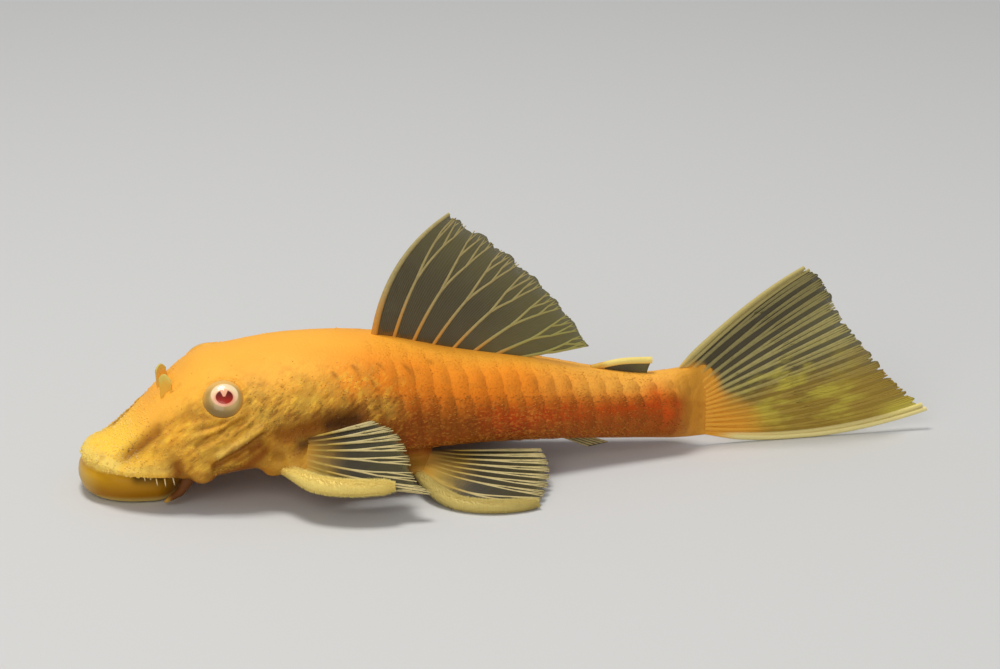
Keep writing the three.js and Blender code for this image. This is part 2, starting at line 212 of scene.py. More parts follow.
def bodyNormal(s, turn):
    s, turn = np.broadcast_arrays(np.asarray(s, float), np.asarray(turn, float))
    along = bodyPoint(s + 0.05, turn) - bodyPoint(s - 0.05, turn)
    beside = bodyPoint(s, turn + 0.01) - bodyPoint(s, turn - 0.01)
    normal = unit(np.cross(along, beside))
    middle = placed(s, 0.0, alongBody('widest', s))
    facing = np.sum(normal * (bodyPoint(s, turn) - middle), -1, keepdims=True)
    return normal * np.where(facing < 0, -1, 1)


def roundShares(points):
    # how far out and how far up each point is on the body's section, 1 on its surface
    s = points[:, 0] - snoutX
    wide = np.maximum(alongBody('halfWidth', s) * noseShare(s), 0.3)
    top, belly, widest = (alongBody(key, s) for key in ('top', 'belly', 'widest'))
    dz = points[:, 2] - widest
    rise = np.where(dz > 0, dz / np.maximum(top - widest, 0.3), dz / np.maximum(widest - belly, 0.3))
    return points[:, 1] / wide, rise


def backShare(points):
    # 0 under the belly, 0.5 at the widest level, 1 on the ridge of the back
    across, rise = roundShares(points)
    return 0.5 + np.arctan2(rise, np.abs(across)) / math.pi


def ownSide(points):
    # s, distance from the middle plane and height, the same for both sides of the fish
    return np.stack([points[:, 0] - snoutX, np.abs(points[:, 1]), points[:, 2]], -1)


def distanceToPath(points, path):
    path = np.array(path if len(path) > 1 else path * 2, float)
    best = np.full(len(points), 1e9)
    for a, b in zip(path[:-1], path[1:]):
        t = np.clip((points - a) @ (b - a) / max((b - a) @ (b - a), 1e-9), 0, 1)
        best = np.minimum(best, np.linalg.norm(points - (a + t[:, None] * (b - a)), axis=1))
    return best


# markings shared by the skin and everything that grows on it
# Each one is a list of (path of s, y, z points, half width, strength), for both sides of the fish.
eyeGroove = [(5.8, 6.5, 7.1), (7.6, 7.0, 8.5), (8.9, 7.2, 9.7), (12.0, 8.5, 11.8)]
opercleRidge = [(16.7, 12.3, 7.8), (19.3, 12.5, 9.1), (22.1, 12.0, 10.7)]
underRidge = [(16.0, 12.1, 6.4), (18.8, 12.5, 8.2), (22.2, 12.3, 10.2)]
shoulderGroove = [(24.8, 12.5, 9.9), (29.5, 12.0, 10.6), (34.2, 11.1, 11.2)]
cheekBack = [(22.8, 12.6, 9.6), (23.6, 12.8, 8.0), (24.4, 12.7, 6.8)]
foldGaps = [
    [(12.9, 10.6, 9.2), (16.4, 11.7, 10.4), (19.4, 11.4, 11.9)],
    [(14.0, 11.6, 9.2), (17.4, 12.0, 10.5), (20.2, 11.6, 12.0)],
    [(12.6, 10.2, 10.3), (15.8, 11.0, 11.3), (18.8, 11.2, 12.3)],
]
# short strokes of painted shadow, in the pits between the shoulder's plates
strokes = [
    (31.9, 8.0, 16.4), (34.6, 7.1, 16.8), (36.6, 8.3, 15.3), (38.1, 6.5, 16.7), (41.5, 6.3, 16.0),
    (44.8, 4.8, 16.0),
]
markings = {
    # painted shade: darkens the grooves and creases of the face, the strip under the gill cover's ridge, the
    # fold behind the mouth corner, the skin round the fin roots and the low front flank; also a faint line
    # across the tail's root
    'hollow': [
        (eyeGroove[:3], 1.5, 0.95), (eyeGroove[2:] + [(14.9, 10.0, 12.5)], 0.8, 0.42),
        ([(15.1, 10.1, 12.4), (18.2, 11.3, 11.9), (20.6, 11.3, 12.5)], 0.5, 0.45),
        (shoulderGroove, 1.9, 1.0), (cheekBack, 0.9, 0.9), (underRidge, 0.62, 1.0), (foldGaps[0], 0.26, 0.8),
        (foldGaps[1], 0.28, 0.9), (foldGaps[2], 0.24, 0.6),
        ([(16.6, 12.0, 4.4), (19.8, 12.4, 5.9), (22.4, 12.7, 8.2)], 1.2, 1.0),
        ([(18.8, 12.5, 7.5), (21.8, 12.6, 9.0)], 0.9, 1.0),
        ([(26.4, 12.8, 7.6), (28.4, 12.5, 9.6)], 1.3, 0.8),
        ([(11.4, 11.4, 6.6), (11.9, 11.3, 4.4)], 1.0, 1.0), ([(9.5, 9.0, 2.6), (13.4, 9.4, 3.4)], 1.3, 1.0),
        ([(81.9, 1.3, 10.7), (82.3, 1.2, 7.8), (82.6, 1.2, 5.0), (82.1, 1.0, 2.1)], 0.8, 0.45),
        ([(36.0, 11.2, 8.6), (43.0, 10.3, 9.0), (50.0, 8.8, 7.6)], 2.0, 0.62),
        ([(11.9, 3.2, 13.8), (12.3, 3.3, 14.4)], 0.35, 0.9),
    ],
    # near-black painted shadow: in the crease between lip and snout, behind the mouth corner, in the pockets
    # behind the gill cover and above the pectoral fin, and in the pits between the shoulder's plates
    'gap': [
        ([(6.8, 7.7, 3.9), (9.0, 7.9, 3.8), (11.2, 7.8, 3.4)], 0.75, 1.0),
        ([(7.4, 8.8, 4.0), (11.0, 9.6, 4.3)], 0.75, 1.0),
        ([(31.0, 11.9, 10.6), (34.2, 11.2, 10.9)], 1.25, 1.0),
        ([(12.4, 9.0, 3.6), (13.6, 10.4, 4.0)], 1.1, 0.8),
        ([(27.0, 12.4, 8.6), (31.0, 12.2, 9.4), (36.0, 11.4, 8.6)], 1.0, 0.75),
    ] + [([(s, y, z), (s + 0.5, y + 0.5, z - 0.9)], 0.26, 0.5) for s, y, z in strokes],
    'speckled': [
        ([(21.0, 10.2, 14.4), (27.0, 10.9, 13.6), (33.0, 10.8, 13.0)], 1.5, 0.65),
        ([(23.0, 11.6, 12.4), (28.0, 11.9, 12.2), (34.0, 11.2, 12.4), (39.0, 10.2, 11.8)], 1.7, 1.0),
        ([(16.5, 11.9, 10.0), (20.5, 11.8, 11.6)], 1.0, 0.6),
        ([(14.2, 12.0, 6.6), (14.9, 11.9, 5.0)], 1.3, 0.6),
    ],
    'redness': [
        ([(75.3, 3.4, 8.4), (77.6, 3.3, 6.4)], 1.7, 1.0),
        ([(52.0, 8.0, 8.6), (60.0, 6.6, 8.4), (68.0, 5.0, 8.0), (75.0, 3.7, 7.6)], 1.5, 0.6),
    ],
    # painted highlight on the lit front and edge of the snout and along the gill cover's ridge
    'glow': [
        ([(0.7, 0.0, 5.3), (1.4, 3.0, 5.5), (4.0, 7.0, 5.4)], 1.3, 0.9), (opercleRidge, 0.60, 1.0),
        ([(5.5, 8.8, 5.3), (10.5, 11.3, 6.2)], 0.8, 0.55),
    ],
    'flesh': [
        ([(24.6, 12.6, 5.9), (28.4, 16.0, 5.2)], 1.6, 1.0),
        ([(42.0, 8.4, 3.8), (43.6, 12.0, 2.4)], 1.9, 1.0),
    ],
}


def markingShare(points, name):
    own = ownSide(points)
    total = np.zeros(len(points))
    for path, width, strength in markings[name]:
        total = np.maximum(total, strength * np.exp(-(distanceToPath(own, path) / width) ** 2))
    return total


def paintMarks(piece, **more):
    points = pointsOf(piece)
    mark(piece, 'backShare', backShare(points))
    for name in markings:
        mark(piece, name, np.maximum(markingShare(points, name), more.get(name, 0)))
    for name in ('lip', 'lipRim', 'pale', 'plateEdge', 'keel'):
        mark(piece, name, more.get(name, np.zeros(len(points))))


# materials
class Wire:
    # one output socket, with arithmetic that adds Math nodes
    def __init__(self, paint, socket):
        self.paint, self.socket = paint, socket

    def math(self, operation, other, swapped=False):
        first, second = (other, self) if swapped else (self, other)
        return self.paint.node('ShaderNodeMath', {'operation': operation}, {0: first, 1: second})

    def __add__(self, other):
        return self.math('ADD', other)

    def __radd__(self, other):
        return self.math('ADD', other, True)

    def __sub__(self, other):
        return self.math('SUBTRACT', other)

    def __rsub__(self, other):
        return self.math('SUBTRACT', other, True)

    def __mul__(self, other):
        return self.math('MULTIPLY', other)

    def __rmul__(self, other):
        return self.math('MULTIPLY', other, True)

    def __pow__(self, other):
        return self.math('POWER', other)


class Paint:
    # one material and the nodes that feed its shader
    def __init__(self, name):
        self.material = bpy.data.materials.new(name)
        self.material.use_nodes = True
        self.tree = self.material.node_tree
        self.shader = self.tree.nodes['Principled BSDF']

    def node(self, kind, settings=None, inputs=None, output=0):
        made = self.tree.nodes.new(kind)
        for key, value in (settings or {}).items():
            if key == 'stops':
                ramp = made.color_ramp
                while len(ramp.elements) < len(value):
                    ramp.elements.new(0.5)
                for element, (position, colour) in zip(ramp.elements, value):
                    element.position, element.color = position, (*colour, 1)
            else:
                setattr(made, key, value)
        for key, value in (inputs or {}).items():
            if isinstance(value, Wire):
                self.tree.links.new(value.socket, made.inputs[key])
            else:
                made.inputs[key].default_value = value
        return Wire(self, made.outputs[output])

    def place(self):
        return self.node('ShaderNodeTexCoord', output='Object')

    def part(self, vector, axis):
        return self.node('ShaderNodeSeparateXYZ', None, {0: vector}, axis)

    def attribute(self, name):
        return self.node('ShaderNodeAttribute', {'attribute_name': name}, output='Fac')

    def noise(self, scale, detail=2.0, vector=None):
        inputs = {'Vector': vector or self.place(), 'Scale': scale, 'Detail': detail}
        return self.node('ShaderNodeTexNoise', None, inputs)

    def cells(self, scale):
        return self.node('ShaderNodeTexVoronoi', None, {'Vector': self.place(), 'Scale': scale}, 'Distance')

    def span(self, value, low, high, toLow=0.0, toHigh=1.0):
        inputs = {0: value, 1: low, 2: high, 3: toLow, 4: toHigh}
        return self.node('ShaderNodeMapRange', {'interpolation_type': 'SMOOTHSTEP'}, inputs)

    def ramp(self, value, stops):
        return self.node('ShaderNodeValToRGB', {'stops': stops}, {0: value})

    def blend(self, share, first, second):
        first = first if isinstance(first, Wire) else (*first, 1)
        second = second if isinstance(second, Wire) else (*second, 1)
        settings = {'data_type': 'RGBA', 'blend_type': 'MIX', 'clamp_factor': True}
        return self.node('ShaderNodeMix', settings, {0: share, 6: first, 7: second}, 2)

    def raised(self, height, distance, strength=1.0):
        inputs = {'Height': height, 'Distance': distance, 'Strength': strength}
        return self.node('ShaderNodeBump', None, inputs)

    def finish(self, **sockets):
        names = {
            'colour': 'Base Color', 'roughness': 'Roughness', 'alpha': 'Alpha', 'normal': 'Normal',
            'coat': 'Coat Weight', 'coatRoughness': 'Coat Roughness', 'specular': 'Specular IOR Level',
        }
        for key, value in sockets.items():
            socket = self.shader.inputs[names[key]]
            if isinstance(value, Wire):
                self.tree.links.new(value.socket, socket)
            else:
                socket.default_value = (*value, 1) if isinstance(value, tuple) else value
        return self.material


def give(piece, material):
    piece.data.materials.clear()
    piece.data.materials.append(material)


skinTones = {
    'belly': (0.60, 0.26, 0.055),
    # the low flank's red, darkened with painted shade
    'shadedLowFlank': (0.25, 0.026, 0.001),
    'midFlank': (0.72, 0.185, 0.009),
    'highFlank': (0.93, 0.29, 0.018),
    'back': (0.96, 0.42, 0.040),
    'crown': (0.96, 0.46, 0.052),
    'snout': (0.96, 0.60, 0.060),
    'cheek': (0.74, 0.37, 0.032),
    'jaw': (0.44, 0.17, 0.012),
    # brown for the painted shade in hollows and creases, also used for dark streaks on the cheek and shoulder
    'hollow': (0.22, 0.058, 0.002),
    # near-black painted shadow for gaps and pockets
    'gap': (0.020, 0.008, 0.001),
    'speckleGround': (0.46, 0.27, 0.038),
    'speckle': (0.135, 0.085, 0.012),
    'red': (0.76, 0.088, 0.004),
    # painted highlight
    'glow': (0.82, 0.62, 0.15),
    'lipUpper': (0.57, 0.285, 0.008),
    'lipLower': (0.31, 0.125, 0.002),
    'lipRim': (0.80, 0.58, 0.14),
    'pale': (0.95, 0.86, 0.58),
    # painted highlight on the bristles, lightening them against their own shading
    'keel': (0.96, 0.42, 0.075),
    # painted shade along the plates' rear edges
    'plateEdge': (0.22, 0.055, 0.003),
    'stem': (0.90, 0.47, 0.075),
    'stemEnd': (0.72, 0.33, 0.034),
    'flesh': (0.40, 0.20, 0.018),
    # painted highlight on the rows of bristles
    'dashHighlight': (0.84, 0.30, 0.040),
    'cloud': (0.80, 0.27, 0.02),
    'mottle': (0.46, 0.16, 0.015),
}
# where each marking begins and where it is full: in s, as the share of the way up the side, or in z (lips)
skinZones = {
    'snout': (15, 8), 'trunk': (27, 38), 'stem': (55, 70), 'stemHeight': (0.56, 0.76), 'stemEnd': (76, 82),
    'sidesFront': (5, 12), 'sidesRear': (46, 34), 'sidesTop': (0.86, 0.70), 'sidesBottom': (0.30, 0.44),
    'dashesFront': (35, 41), 'dashesRear': (68, 58), 'dashesTop': (0.72, 0.60), 'dashesBottom': (0.36, 0.46),
    'mottle': (0.92, 0.70), 'lipHeight': (1.2, 4.4),
}
# scales of the noise in each pattern, from broad clouds of colour down to grains
skinGrain = {
    'cloud': 85, 'wander': 190, 'patches': 360, 'mottle': 750, 'lumps': 900, 'grains': 2600, 'fine': 3200,
}


def skinPaint(name, roughness, granular=1.0):
    tones, zones, grain = skinTones, skinZones, skinGrain
    paint = Paint(name)
    share = paint.attribute('backShare')
    place = paint.place()
    s = (paint.part(place, 0) - snoutX * mm) * 1000
    y, z = paint.part(place, 1) * 1000, paint.part(place, 2) * 1000
    wander = paint.noise(grain['wander'], 3) - 0.5
    level = share + wander * 0.09

    def zone(value, *names):
        # the product of the named zones' shares at a value
        shares = [paint.span(value, *zones[key]) for key in names]
        return shares[0] if len(shares) == 1 else shares[0] * shares[1]

    def layered(colour, *layers):
        # each layer is a share and the name of the tone that it lays over the colour
        for strength, tone in layers:
            colour = paint.blend(strength, colour, tones[tone])
        return colour

    # up the side: the dark low flank is partly its own red and partly painted shade
    flank = paint.ramp(level, [
        (0.08, tones['belly']), (0.28, tones['shadedLowFlank']), (0.58, tones['shadedLowFlank']),
        (0.68, tones['midFlank']), (0.80, tones['highFlank']), (0.92, tones['back']),
    ])
    stem = zone(s + wander * 8, 'stem') * zone(level, 'stemHeight')
    flank = layered(flank, (stem * 0.75, 'stem'), (zone(s + wander * 6, 'stemEnd') * 0.85, 'stemEnd'))
    face = paint.ramp(level, [
        (0.34, tones['jaw']), (0.50, tones['cheek']), (0.68, tones['cheek']), (0.80, tones['crown']),
        (1.0, tones['crown']),
    ])
    face = layered(face, (zone(s + z * 0.45, 'snout'), 'snout'))
    colour = paint.blend(zone(s + wander * 5, 'trunk'), face, flank)

    speckled = paint.attribute('speckled')
    # fine streaks that rise towards the tail
    lie = {0: s * 0.37 + z * 0.26, 1: y * 0.8, 2: z * 1.23 - s * 0.86}
    lie = paint.node('ShaderNodeCombineXYZ', None, lie)
    streaks = paint.noise(1.25, 5, lie)
    sides = zone(share, 'sidesTop', 'sidesBottom') * zone(s, 'sidesRear', 'sidesFront')
    # short rows of painted highlight dashes on the low flank, where the rows of bristles catch the light
    rows = paint.node('ShaderNodeCombineXYZ', None, {0: s * 1.7, 1: y * 0.5, 2: z * 3.2})
    dashes = paint.span(paint.noise(1.0, 1, rows), 0.50, 0.66)
    dashes = dashes * zone(s + wander * 8, 'dashesFront', 'dashesRear')
    dashes = dashes * zone(level, 'dashesTop', 'dashesBottom')
    colour = layered(
        colour,
        (paint.span(paint.noise(grain['cloud'], 2), 0.35, 0.70) * 0.22, 'cloud'),
        (paint.attribute('redness') * 0.8, 'red'),
        # painted highlight from the markings, the grains and the bristles
        (paint.attribute('glow') * 0.85, 'glow'),
        (speckled * 0.7, 'speckleGround'),
        (speckled * paint.span(streaks, 0.50, 0.62) * 0.66, 'speckle'),
        (speckled * paint.span(streaks, 0.44, 0.34) * 0.5, 'back'),
        # dark streaks and bright flecks on the cheek and shoulder, the dark ones in the same brown as the
        # painted shade
        (sides * paint.span(streaks, 0.53, 0.66) * 0.38, 'hollow'),
        (sides * paint.span(streaks, 0.47, 0.35) * 0.45, 'snout'),
        (dashes * 0.40, 'dashHighlight'),
        (sides * paint.span(paint.noise(grain['patches'], 4), 0.47, 0.62) * 0.45, 'speckleGround'),
        (zone(share, 'mottle') * paint.span(paint.noise(grain['mottle'], 4), 0.45, 0.72) * 0.38, 'mottle'),
        # painted shade from the markings
        (paint.attribute('hollow') * 0.95, 'hollow'),
        (paint.attribute('flesh') * 0.9, 'flesh'),
    )
    lips = paint.blend(zone(z, 'lipHeight'), tones['lipLower'], tones['lipUpper'])
    colour = paint.blend(paint.attribute('lip'), colour, lips)
    # the lip's rim, painted shade on the plates' rear edges, painted highlight on the bristles, near-black
    # painted shadow in gaps and pockets, and pale tips
    for tone in ('lipRim', 'plateEdge', 'keel', 'gap', 'pale'):
        colour = layered(colour, (paint.attribute(tone), tone))

    dry = 1 - paint.attribute('lip') * 0.9
    lumps = paint.noise(grain['lumps'], 3) * sides * 2.4  # the rough cheek
    relief = (paint.noise(grain['fine'], 3) * 0.6 + paint.cells(grain['grains']) * 0.5 + lumps) * dry
    normal = paint.raised(relief, 0.00012 * granular, 0.7)
    gloss = paint.span(paint.attribute('lip'), 0, 1, roughness, 0.34)
    return paint.finish(colour=colour, roughness=gloss, normal=normal, specular=0.13)


skinMaterial = skinPaint('orangeSkin', roughness=0.52)
plateMaterial = skinPaint('plateSkin', roughness=0.46, granular=0.8)
pieces = []


def keep(piece, material, nodes=()):
    give(piece, material)
    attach(piece, 'root')
    if nodes:
        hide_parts(*nodes)
    pieces.append(piece)
    return piece


# the fins' forms, the same as the solids'
def curveThrough(points, byLength=False):
    p = np.array(points, float)
    p = np.concatenate([[2 * p[0] - p[1]], p, [2 * p[-1] - p[-2]]])
    gaps = np.maximum(np.linalg.norm(np.diff(p, axis=0), axis=1), 1e-6) ** 0.5

    def point(t):
        at = np.clip(np.asarray(t, float), 0, 1) * (len(p) - 3)
        i = np.minimum(at.astype(int), len(p) - 4)
        f = (at - i)[..., None]
        a, b, c, d = p[i], p[i + 1], p[i + 2], p[i + 3]
        g0, g1, g2 = (gaps[i + k][..., None] for k in range(3))
        t1 = ((b - a) / g0 - (c - a) / (g0 + g1) + (c - b) / g1) * g1
        t2 = ((c - b) / g1 - (d - b) / (g1 + g2) + (d - c) / g2) * g1
        return b + t1 * f + (-3 * b + 3 * c - 2 * t1 - t2) * f**2 + (2 * b - 2 * c + t1 + t2) * f**3

    if not byLength:
        return point
    fine = np.linspace(0, 1, 400)
    steps = np.linalg.norm(np.diff(point(fine), axis=0), axis=1)
    measured = np.concatenate([[0], np.cumsum(steps)]) / steps.sum()
    return lambda t: point(np.interp(t, measured, fine))


def bezier(a, b, c, t):
    t = np.asarray(t)[..., None]
    return a * (1 - t) ** 2 + 2 * b * t * (1 - t) + c * t**2


def bowed(root, tip, bow, t):
    return bezier(root, (root + tip) / 2 + bow, tip, t)


dorsal = {
    'rootStart': 38.5, 'rootStep': 2.45, 'rays': 7, 'rootDepth': 1.2,
    'margin': [(48.6, 34.0), (61.4, 25.9), (67.4, 14.4)],
    'bow': (-3.6, 2.9), 'softBow': 0.48, 'firstTip': 0.04, 'lastTip': 0.98, 'ripple': 0.2,
}
tail = {
    'rootStart': 78.6, 'rootReach': 4.4, 'rootHeight': (10.3, 1.6),
    'margin': [(96.2, 23.8), (98.6, 22.3), (101.6, 16.8), (106.0, 11.0), (110.6, 6.0), (113.8, 2.9)],
    'bows': ((1.3, 3.0), (-0.2, -3.7)), 'ripple': 0.5,
}
adipose = {'rootStart': 69.0, 'rootLength': 5.8, 'rootDepth': 0.8, 'tips': (12.6, 12.4), 'bow': (-0.2, 0.1)}
anal = {
    'rootStart': 59.8, 'rootLength': 3.4, 'rootDepth': 0.8,
    'tips': ((67.2, 1.0), (69.8, 1.4)), 'bow': (0.2, -0.2),
}
pectoral = {
    'root': (22.0, 9.4, 6.1),
    'spine': [(25.3, 13.4, 5.5), (28.2, 17.3, 5.0), (32.2, 19.3, 4.9), (37.6, 19.9, 4.9)],
    'margin': [(42.8, 20.2, 3.4), (40.8, 18.0, 4.7), (40.5, 14.8, 6.6),
               (40.0, 13.1, 8.2), (38.8, 12.5, 9.7), (36.2, 12.1, 11.0)],
    'rays': 6, 'rayRoots': ((25.6, 13.0, 5.6), (27.8, 11.6, 9.2)), 'bows': ((-1.8, 2.2, 0), (0, 0.7, 0)),
    'radius': (0.8, 0.45, 0.15, 0.75),
}
pelvic = {
    'root': (41.0, 5.0, 5.3),
    'spine': [(42.4, 10.2, 2.9), (44.3, 14.7, 1.5), (47.4, 17.8, 0.75), (51.5, 19.1, 0.7), (56.2, 18.5, 0.7)],
    'margin': [(57.4, 16.8, 0.9), (58.8, 13.6, 1.5), (59.5, 11.0, 2.2), (59.6, 8.8, 3.0), (59.2, 7.2, 3.8)],
    'rays': 5, 'rayRoots': ((42.4, 10.2, 3.0), (43.8, 7.4, 4.8)), 'bows': ((-1.8, 2.6, 0.1), (0, 0.7, 0.1)),
    'radius': (0.7, 0.35, 0.1, 0.8),
}


def dorsalSurface(a, b):
    s = dorsal['rootStart'] + dorsal['rootStep'] * dorsal['rays'] * a
    root = placed(s, 0.0, alongBody('top', s) - dorsal['rootDepth'])
    m = [placed(np.full(np.shape(a), ms), 0.0, mz) for ms, mz in dorsal['margin']]
    knots = [0, 1 / dorsal['rays'], 1]
    tip = bezier(m[0], m[1], m[2], np.interp(a, knots, [0, dorsal['firstTip'], dorsal['lastTip']]))
    loss = np.interp(a, knots, [1, dorsal['softBow'], 0])
    bow = np.stack([dorsal['bow'][0] * loss, np.zeros_like(a), dorsal['bow'][1] * loss], -1)
    point = bowed(root, tip, bow, b)
    point[..., 1] += dorsal['ripple'] * b**2 * np.sin(2.2 * math.pi * a)
    return point


tailMargin = curveThrough([(snoutX + s, 0, z) for s, z in tail['margin']], True)


def tailSurface(a, b):
    s = tail['rootStart'] + tail['rootReach'] * np.sin(0.5 * math.pi * np.minimum(1, 3 * a))
    root = placed(s, 0.0, mixed(tail['rootHeight'][0], tail['rootHeight'][1], a))
    tip = tailMargin(a)
    tip[..., 1] = tail['ripple'] * np.sin(3 * math.pi * a)
    (x0, z0), (x1, z1) = tail['bows']
    bow = np.stack([mixed(x0, x1, a), np.zeros_like(a), mixed(z0, z1, a)], -1)
    point = bowed(root, tip, bow, b)
    point[..., 2] = np.maximum(point[..., 2], 0.28)
    return point


def adiposeSurface(a, b):
    s = adipose['rootStart'] + adipose['rootLength'] * a
    root = placed(s, 0.0, alongBody('top', s) - adipose['rootDepth'])
    tip = placed(s + 0.8, 0.0, mixed(adipose['tips'][0], adipose['tips'][1], a))
    return bowed(root, tip, np.array([adipose['bow'][0], 0, adipose['bow'][1]]), b)


def analSurface(a, b):
    s = anal['rootStart'] + anal['rootLength'] * a
    root = placed(s, 0.0, alongBody('belly', s) + anal['rootDepth'])
    (s0, z0), (s1, z1) = anal['tips']
    tip = placed(mixed(s0, s1, a), 0.0, mixed(z0, z1, a))
    return bowed(root, tip, np.array([anal['bow'][0], 0, anal['bow'][1]]), b)


def pairedSurface(fin, side):
    def beside(point):
        return np.array([snoutX + point[0], side * point[1], point[2]])
    lead = curveThrough([beside(p) for p in fin['spine']])
    margin = curveThrough([beside(p) for p in fin['margin']])
    rootA, rootB = (beside(p) for p in fin['rayRoots'])
    bowA, bowB = (np.array([b[0], side * b[1], b[2]]) for b in fin['bows'])

    def surface(a, b):
        n = fin['rays']
        share = np.maximum(a, 1 / n)[..., None]
        tip = margin((share[..., 0] * n - 1) / (n - 1))
        fan = bowed(mixed(rootA, rootB, share), tip, mixed(bowA, bowB, share), b)
        weight = np.clip(a * n, 0, 1)[..., None]
        return mixed(lead(b), fan, weight)

    return surface


# skin: tube of the body, lips, cheeks and fin bases, blended into one
skinShape = {
    'depth': 0.12,  # how far it lies inside the solids
    'voxel': 0.245,
    'soften': 4,
    'tailFrom': 77.6,  # from here the stem flattens into the tail fin
    'tailTo': 84.6,
    'lip': {'widestAt': 9.0, 'front': 8.95, 'back': 4.1, 'halfWidth': 7.75, 'squareness': 2.4,
            'profile': [(0, 1.3), (0.25, 1.25), (0.45, 1.0), (0.58, 0.12), (0.64, 0.02), (0.74, 0.02),
                        (0.86, 0.35), (0.96, 1.1), (1.0, 2.2), (0.985, 3.4), (0.92, 4.4), (0.82, 5.2),
                        (0.5, 5.6), (0, 5.8)]},
    # (s, y, z, half length, half width, half height, tilt about the side axis, droop outwards), in degrees
    'swellings': [
        (14.8, 10.5, 5.3, 1.9, 1.75, 1.55, -12, 0), (19.8, 10.7, 7.8, 4.2, 2.1, 2.2, -26, 0),
        (23.4, 10.9, 6.4, 2.8, 1.9, 1.6, 10, 0), (42.0, 6.6, 5.2, 2.8, 2.9, 1.0, 0, 0),
        (46.5, 3.0, 5.3, 5.0, 3.0, 1.0, 0, 0), (42.0, 8.0, 4.05, 1.5, 3.0, 0.9, 0, 25),
        (24.9, 11.5, 6.3, 2.9, 1.9, 1.4, -28, 8),
    ],
    # how far out along the fin its fleshy root reaches, and how thick it is at the body
    'roots': {'pectoral': (0.14, 1.7), 'pelvic': (0.08, 1.5)},
}


def onBody(s, turn, grow=0.0):
    # the body's surface, with the end of the stem pressed flat towards the tail fin
    point = bodyPoint(s, turn, grow)
    point[..., 1] *= 1 - 0.94 * eased(s, skinShape['tailFrom'], skinShape['tailTo'] - 1.2)
    return point


def bodyTube():
    first, last = body['snoutTip'] + 0.03, skinShape['tailTo']

    def place(u, v):
        s = first + (last - first) * (0.2 * u + 0.8 * u**1.8)
        ring = onBody(s, 2 * math.pi * v, -skinShape['depth'])
        height = np.sqrt(1 - 0.75 * np.clip((s - last + 2.2) / 2.2, 0, 1) ** 3)
        middle = placed(s, 0.0, alongBody('widest', s))
        return middle + (ring - middle) * np.stack([np.ones(len(s)), np.ones(len(s)), height], -1)

    return closeUp(shapedGrid('bodyTube', 190, 100, place))


def smoothProfile(profile, t):
    profile = np.array(profile, float)
    steps = np.concatenate([[0], np.cumsum(np.linalg.norm(np.diff(profile, axis=0), axis=1))])
    at = t * steps[-1]
    return np.interp(at, steps, profile[:, 0]), np.interp(at, steps, profile[:, 1])


def lipDisc():
    lip = skinShape['lip']

    def place(u, v):
        share, z = smoothProfile(lip['profile'], v)
        turn = 2 * math.pi * u
        ahead = np.cos(turn) < 0
        power = np.where(ahead, 2 / lip['squareness'], 1.0)
        along = np.sign(np.cos(turn)) * np.abs(np.cos(turn)) ** power
        across = np.sign(np.sin(turn)) * np.abs(np.sin(turn)) ** power
        reach = np.where(ahead, lip['front'], lip['back'])
        return placed(lip['widestAt'] + reach * share * along, lip['halfWidth'] * share * across, z)

    return closeUp(shapedGrid('lipDisc', 96, 48, place))


def swelling(side, s, y, z, long, wide, high, tilt, droop):
    deselectAll()
    place = ((snoutX + s) * mm, side * y * mm, z * mm)
    turn = (math.radians(-side * droop), math.radians(tilt), 0)
    bpy.ops.mesh.primitive_uv_sphere_add(segments=28, ring_count=18, radius=mm, location=place,
                                         rotation=turn, scale=(long, wide, high))
    lump = bpy.context.object
    bpy.ops.object.transform_apply(location=True, rotation=True, scale=True)
    return lump


def finRoot(surface, reach, thick):
    # a fleshy pad round the first part of a fin, thinning towards its edges
    def place(u, v):
        b, nudge = reach * (1 - np.abs(2 * v - 1)), 0.01
        alongA = surface(np.clip(u + nudge, 0, 1), b) - surface(np.clip(u - nudge, 0, 1), b)
        alongB = surface(u, b + nudge) - surface(u, np.maximum(b - nudge, 0))
        edge = np.sqrt(np.clip(8 * (1 - u), 0, 1))
        half = thick / 2 * (0.20 + 0.80 * (1 - b / reach) ** 0.8) * edge * np.where(v < 0.5, 1, -1)
        return surface(u, b) + unit(np.cross(alongA, alongB)) * half[:, None]

    return closeUp(shapedGrid('finRoot', 40, 24, place))


parts = [bodyTube(), lipDisc()]
for side in (-1, 1):
    for key, fin in (('pectoral', pectoral), ('pelvic', pelvic)):
        parts.append(finRoot(pairedSurface(fin, side), *skinShape['roots'][key]))
for spot in skinShape['swellings']:
    parts += [swelling(side, *spot) for side in (-1, 1)]
skin = joinAll(parts, 'bodySkin')
useModifier(skin, 'REMESH', mode='VOXEL', voxel_size=skinShape['voxel'] * mm, adaptivity=0)
useModifier(skin, 'SMOOTH', factor=0.5, iterations=skinShape['soften'])
print('skin blended:', len(skin.data.vertices), 'points')


# eyes: where they sit, used by the skin's sockets and by the eyes
eye = {
    's': 17.8, 'z': 14.3, 'lift': 38.0, 'forward': 6.0,  # lift and forward turn the axis, in degrees
    'halfAcross': 2.78, 'halfOut': 1.62, 'sunk': 0.86,
    'rim': 2.62, 'rimHeight': 0.16, 'browHeight': 0.26, 'rimWidth': 0.40,
    'socketDepth': 1.5, 'wallTop': 0.05, 'wallFoot': 0.70,  # the socket's wall, measured inwards from the rim
    'carved': 3.2,  # nothing farther than this from the eye's plane is carved
}


